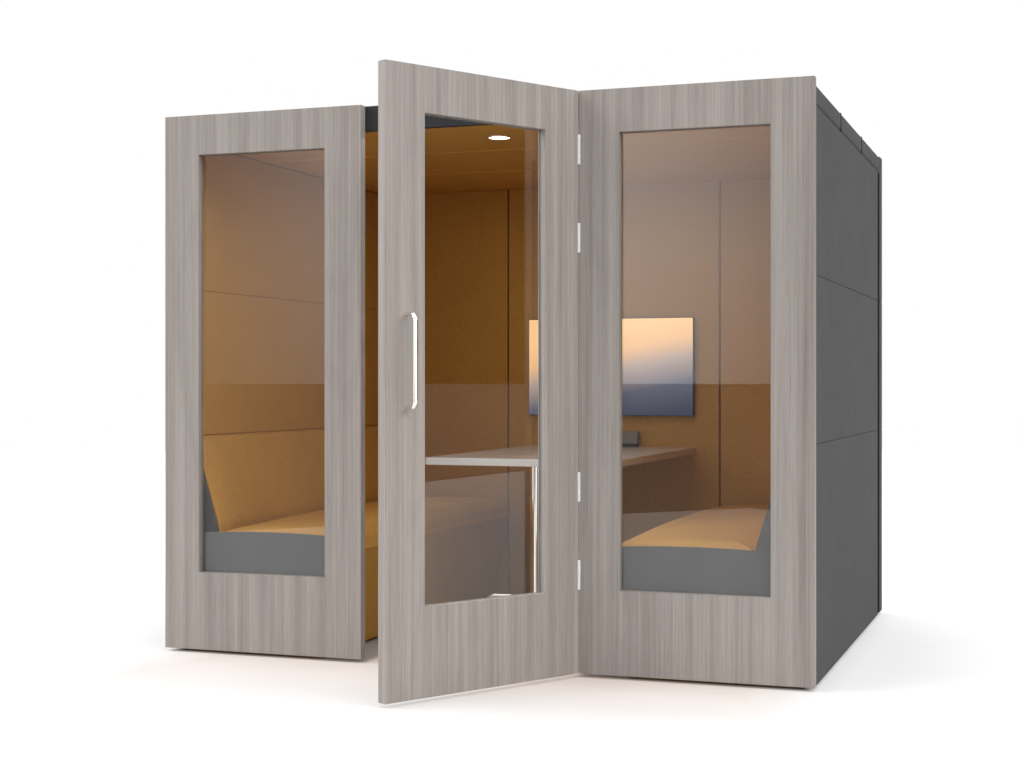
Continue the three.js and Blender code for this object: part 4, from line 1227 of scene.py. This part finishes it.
def downlight():
    ceiling_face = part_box("ceiling_lining")[0].z - RECESS_GAP
    profile = [(RING_BORE, SLEEVE_HEIGHT), (RING_BORE, RING_LIP - RING_DROP)]
    profile.append((RING_BORE + RING_LIP, -RING_DROP))
    profile += arc((RING_RADIUS - RING_DROP, 0.0), RING_DROP, -90, 0, ROUND_STEPS)
    profile += [(RING_SLEEVE, 0.0), (RING_SLEEVE, SLEEVE_HEIGHT), (RING_BORE, SLEEVE_HEIGHT)]
    turned_stand_in("downlight_ring", profile, ceiling_face, "chrome")
    low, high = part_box("downlight_lens")
    thickness = high.z - low.z
    shares = [step / ROUND_STEPS for step in range(ROUND_STEPS + 1)]
    crown = [(LENS_RADIUS * s, LENS_CROWN * s * s) for s in shares]
    profile = [*crown, (LENS_RADIUS, thickness), (0, thickness)]
    turned_stand_in("downlight_lens", profile, low.z, "light_lens")


def fan_blade(angle):
    """A twisted blade from the hub to its tip, whose corners stay in the circle that the tip runs in."""
    work = bmesh.new()
    rings = []
    for step in range(FAN_BLADE_STEPS + 1):
        share = step / FAN_BLADE_STEPS
        radius = FAN_BLADE_START + share * (FAN_TIP - FAN_BLADE_START)
        pitch = FAN_BLADE_ROOT + share * (FAN_BLADE_TIP - FAN_BLADE_ROOT)
        half = FAN_BLADE_WIDTH / 2 * (FAN_BLADE_ENDS + (1 - FAN_BLADE_ENDS) * math.sin(math.pi * share))
        thick = FAN_BLADE_THICKNESS / 2 * (1 - FAN_BLADE_THINNING * share)
        section = [(-half, 0), (-half / 2, thick), (half / 2, thick), (half, 0), (0, -thick)]
        reach = math.sqrt(max(radius ** 2 - half ** 2, 0)) if share == 1 else radius
        ring = []
        for across, up in section:
            y = across * math.cos(pitch) - up * math.sin(pitch)
            z = across * math.sin(pitch) + up * math.cos(pitch)
            ring.append(work.verts.new((reach, y, z)))
        rings.append(ring)
    skin(work, rings)
    return moved(work, Matrix.Rotation(angle, 4, "Z"))


def fan_grille():
    ceiling_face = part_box("ceiling_lining")[0].z - RECESS_GAP
    duct_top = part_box("fan_grille")[1].z - ceiling_face
    profile = [(FAN_BORE, duct_top)]
    profile += arc((FAN_BORE + FAN_RING_ROUND, 0.0), FAN_RING_ROUND, 180, 270)
    profile += arc((FAN_RING_RADIUS - FAN_RING_ROUND, 0.0), FAN_RING_ROUND, -90, 0)
    profile += [(FAN_DUCT, 0.0), (FAN_DUCT, duct_top), (FAN_BORE, duct_top)]
    shaft_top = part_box("fan_rotor")[1].z - ceiling_face
    hub = [(0, 0), *arc((FAN_HUB - FAN_HUB_ROUND, FAN_HUB_ROUND), FAN_HUB_ROUND, -90, 0)]
    hub += [(FAN_HUB, FAN_HUB_HEIGHT), (FAN_SHAFT, FAN_HUB_HEIGHT), (FAN_SHAFT, shaft_top), (0, shaft_top)]
    parts = [turned(profile, WIDE_SIDES), turned(hub, SMALL_SIDES)]
    half = FAN_STRUT / 2
    for angle in ring_angles(FAN_STRUTS):
        strut_low = (FAN_HUB - half, -half, FAN_STRUT_EDGE)
        strut_high = (FAN_BORE + FAN_STRUT_EDGE, half, FAN_STRUT)
        strut = padded_block(strut_low, strut_high, X, half / 2, FAN_STRUT_EDGE)
        parts.append(moved(strut, Matrix.Rotation(angle, 4, "Z")))
    grille = moved(merged(parts), above_middle("fan_grille", ceiling_face))
    stand_in("fan_grille", grille, "black_plastic")


def fan_rotor():
    low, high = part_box("fan_rotor")
    half = ROTOR_HEIGHT / 2
    bearing = FAN_SHAFT + HINGE_RUN
    profile = [(bearing, -half), (FAN_HUB, -half)]
    profile += arc((FAN_HUB - FAN_HUB_ROUND, half - FAN_HUB_ROUND), FAN_HUB_ROUND, 0, 90)
    profile += [(bearing, half), (bearing, -half)]
    work = merged([turned(profile, SMALL_SIDES), *map(fan_blade, ring_angles(FAN_BLADES))])
    place = Matrix.Translation((*joints["fan_spin"]["pos_m"][:2], (low.z + high.z) / 2))
    stand_in("fan_rotor", moved(work, place), "black_plastic")


def painted_floor_spill(shader, side, ahead):
    """Painted warm light and shade on the floor: its glow is darker and warmer ahead of the pod and under it,
    for the cabin's warm light and the pod's shadow there, and white to the sides and behind.
    """
    past_ends = shader.spread(side, *FLOOR_PAINTED_SPILL_ENDS, 0.0, 1.0)
    past_rear = shader.spread(ahead, *FLOOR_PAINTED_SPILL_REAR, 1.0, 0.0)
    share = shader.most(ahead, past_ends, past_rear)
    return shader.ramp(share, *((place, (*tint, 1.0)) for place, tint in FLOOR_PAINTED_SPILL_AND_SHADE))


def floor_open(shader, side, ahead):
    """1 on open floor and in the doorway, 0 on the floor under the pod."""
    right, rear, _ = cad_box[1]
    depth = shader.times(ahead, -1.0)
    from_rear = shader.math("SUBTRACT", rear - front_face, depth)
    from_side = shader.math("SUBTRACT", right, side)
    within = shader.fold("MINIMUM", (depth, from_rear, from_side))
    uncovered = shader.spread(within, 0.0, FLOOR_SHADE_DEPTH, 1.0, 0.0)
    return shader.most(uncovered, shader.spread(side, *FLOOR_OPENING, 1.0, 0.0))


def floor_material():
    """Pale floor that keeps the shadow, and shows as white where nothing shades it. Ahead of the pod its glow
    takes painted warm light and shade.
    """
    shader = Shader("pale_floor", Roughness=0.9, Specular_IOR_Level=0.0)
    dust = shader.noise((3, 3, 3), detail=2)
    tones = [(0.3, FLOOR_ALBEDO - FLOOR_DUST), (0.7, FLOOR_ALBEDO + FLOOR_DUST)]
    shader.feed(shader.greys(dust, tones), "Base Color")
    middle = (Vector(cad_box[0]) + Vector(cad_box[1])) / 2
    away = shader.add("ShaderNodeVectorMath")
    away.operation = "DISTANCE"
    away.inputs[1].default_value = (middle.x, middle.y, 0.0)
    shader.join(shader.place, away.inputs[0])
    glow = shader.spread(away.outputs["Value"], FLOOR_NEAR, FLOOR_FAR, FLOOR_GLOW, FLOOR_FAR_GLOW)
    across, along, _ = shader.parts(shader.place)
    side, ahead = shader.math("ABSOLUTE", across), shader.math("SUBTRACT", front_face, along)
    glow = shader.times(glow, floor_open(shader, side, ahead), shader.seen())
    glossy = shader.add("ShaderNodeLightPath").outputs["Is Glossy Ray"]
    glow = shader.total((glow, 1.0), (glossy, FLOOR_GLOSSY_GLOW))
    # Painted warm light and shade: the colour of the floor's glow near the pod
    shader.feed(painted_floor_spill(shader, side, ahead), "Emission Color")
    shader.feed(glow, "Emission Strength")
    return shader.material


def floor():
    mesh = bpy.data.meshes.new("floor")
    corners = [(x, y + front_face, 0.0) for x, y in FLOOR_CORNERS]
    mesh.from_pydata(corners, [], [range(len(corners))])
    mesh.materials.append(floor_material())
    shown("floor", mesh)


def panel_light(nodes, right, ahead, up):
    """A tall soft light ahead of the pod, which its panes mirror. It ends where the dome starts."""
    aside = nodes.math("SUBTRACT", right, PANEL_LIGHT_SIDE)
    return nodes.times(
        nodes.math("POWER", math.e, nodes.times(aside, aside, -0.5 / PANEL_LIGHT_SPREAD ** 2)),
        nodes.math("LESS_THAN", ahead, 0.0),
        nodes.spread(up, 0.0, PANEL_LIGHT_RISE, PANEL_LIGHT_FOOT, 1.0),
        nodes.spread(up, DOME_FOOT, DOME_START, 1.0, 0.0),
    )


def dome_light(nodes, side, ahead, up):
    """A soft dome, brighter to the sides and dimmer behind the pod."""
    dome = nodes.times(nodes.greys(side, DOME_TONES), nodes.spread(ahead, *DOME_TURN, 1.0, DOME_REAR))
    dome = nodes.most(dome, nodes.spread(up, *DOME_TOP, 0.0, DOME_CROWN))
    return nodes.times(dome, nodes.spread(up, DOME_FOOT, DOME_START, 0.0, 1.0))


def world():
    """A soft dome over a tall light, with dim ground under the horizon.

    What the camera sees of it is white, and what is glossy mirrors a white card on either side of the
    tall light.
    """
    sky = bpy.data.worlds.new("studio")
    bpy.context.scene.world = sky
    sky.use_nodes = True
    nodes = Nodes(sky.node_tree)
    right, ahead, up = nodes.parts(nodes.add("ShaderNodeTexCoord").outputs["Generated"])
    side = nodes.spread(right, -1.0, 1.0, 0.0, 1.0)
    panel, dome = panel_light(nodes, right, ahead, up), dome_light(nodes, side, ahead, up)
    above = nodes.math("GREATER_THAN", up, 0.0)
    light = nodes.times(nodes.total((panel, PANEL_LIGHT), (dome, DOME_STRENGTH)), above)
    light = nodes.math("ADD", light, nodes.spread(above, 0.0, 1.0, GROUND_STRENGTH, 0.0))
    glossy = nodes.add("ShaderNodeLightPath").outputs["Is Glossy Ray"]
    card = nodes.times(nodes.greys(side, CARD_TONES), nodes.spread(ahead, *CARD_REAR, 1.0, 0.0), glossy)
    light = nodes.most(light, nodes.seen(), card)
    background = nodes.add("ShaderNodeBackground")
    background.inputs["Color"].default_value = (1.0, 1.0, 1.0, 1.0)
    nodes.join(light, background.inputs["Strength"])
    nodes.join(background.outputs["Background"], nodes.add("ShaderNodeOutputWorld").inputs["Surface"])


def cabin_lamp():
    """A soft square lamp under the ceiling, which shows only by its light."""
    low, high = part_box("ceiling_lining")
    middle = (low + high) / 2
    data = bpy.data.lights.new("cabin_glow", "AREA")
    data.size = CABIN_LIGHT_SIZE
    data.energy = CABIN_LIGHT_POWER
    lamp = shown("cabin_glow", data)
    lamp.location = (middle.x, middle.y - CABIN_LIGHT_FORWARD, low.z - CABIN_LIGHT_DROP)
    lamp.rotation_euler = Vector((0, 0, -1)).to_track_quat("-Z", "Y").to_euler()
    lamp.visible_camera = lamp.visible_glossy = lamp.visible_transmission = False


def camera():
    data = bpy.data.cameras.new("camera")
    data.lens = CAMERA_LENS
    data.sensor_width = CAMERA_SENSOR
    data.sensor_fit = "HORIZONTAL"
    data.clip_end = CAMERA_REACH
    eye = shown("camera", data)
    eye.location = Vector(CAMERA_PLACE) + Vector((0, front_face, 0))
    eye.rotation_euler = (math.pi / 2, 0, CAMERA_TURN)
    bpy.context.scene.camera = eye


finishes = material_slots()
front_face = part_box("left_front_panel")[0].y
swing = joints["door_swing"]
pin_place = Matrix.Translation((swing["pos_m"][0], swing["pos_m"][1], 0))
door_place = pin_place @ Matrix.Rotation(-math.radians(swing["range_deg"][0]), 4, "Z")

camera()
floor()
world()
cabin_lamp()
dress("wood_laminate", "left_front_panel", "right_front_panel", "door_leaf")
dress("gasket_rubber", "left_glazing_gasket", "right_glazing_gasket", "door_glazing_gasket")
dress("glass", "left_glass", "right_glass", "door_glass")
dress("dark_steel", "left_base_rail", "right_base_rail")
dress("mustard_fabric", "table_cleat")
side_walls()
rear_wall()
roof()
ceiling()
side_linings()
rear_linings()
benches()
cushions()
hinges()
handle()
door_seals()
table_top()
table_stand()
screen()
power_module()
downlight()
fan_grille()
fan_rotor()

bpy.context.scene.view_settings.view_transform = "Standard"
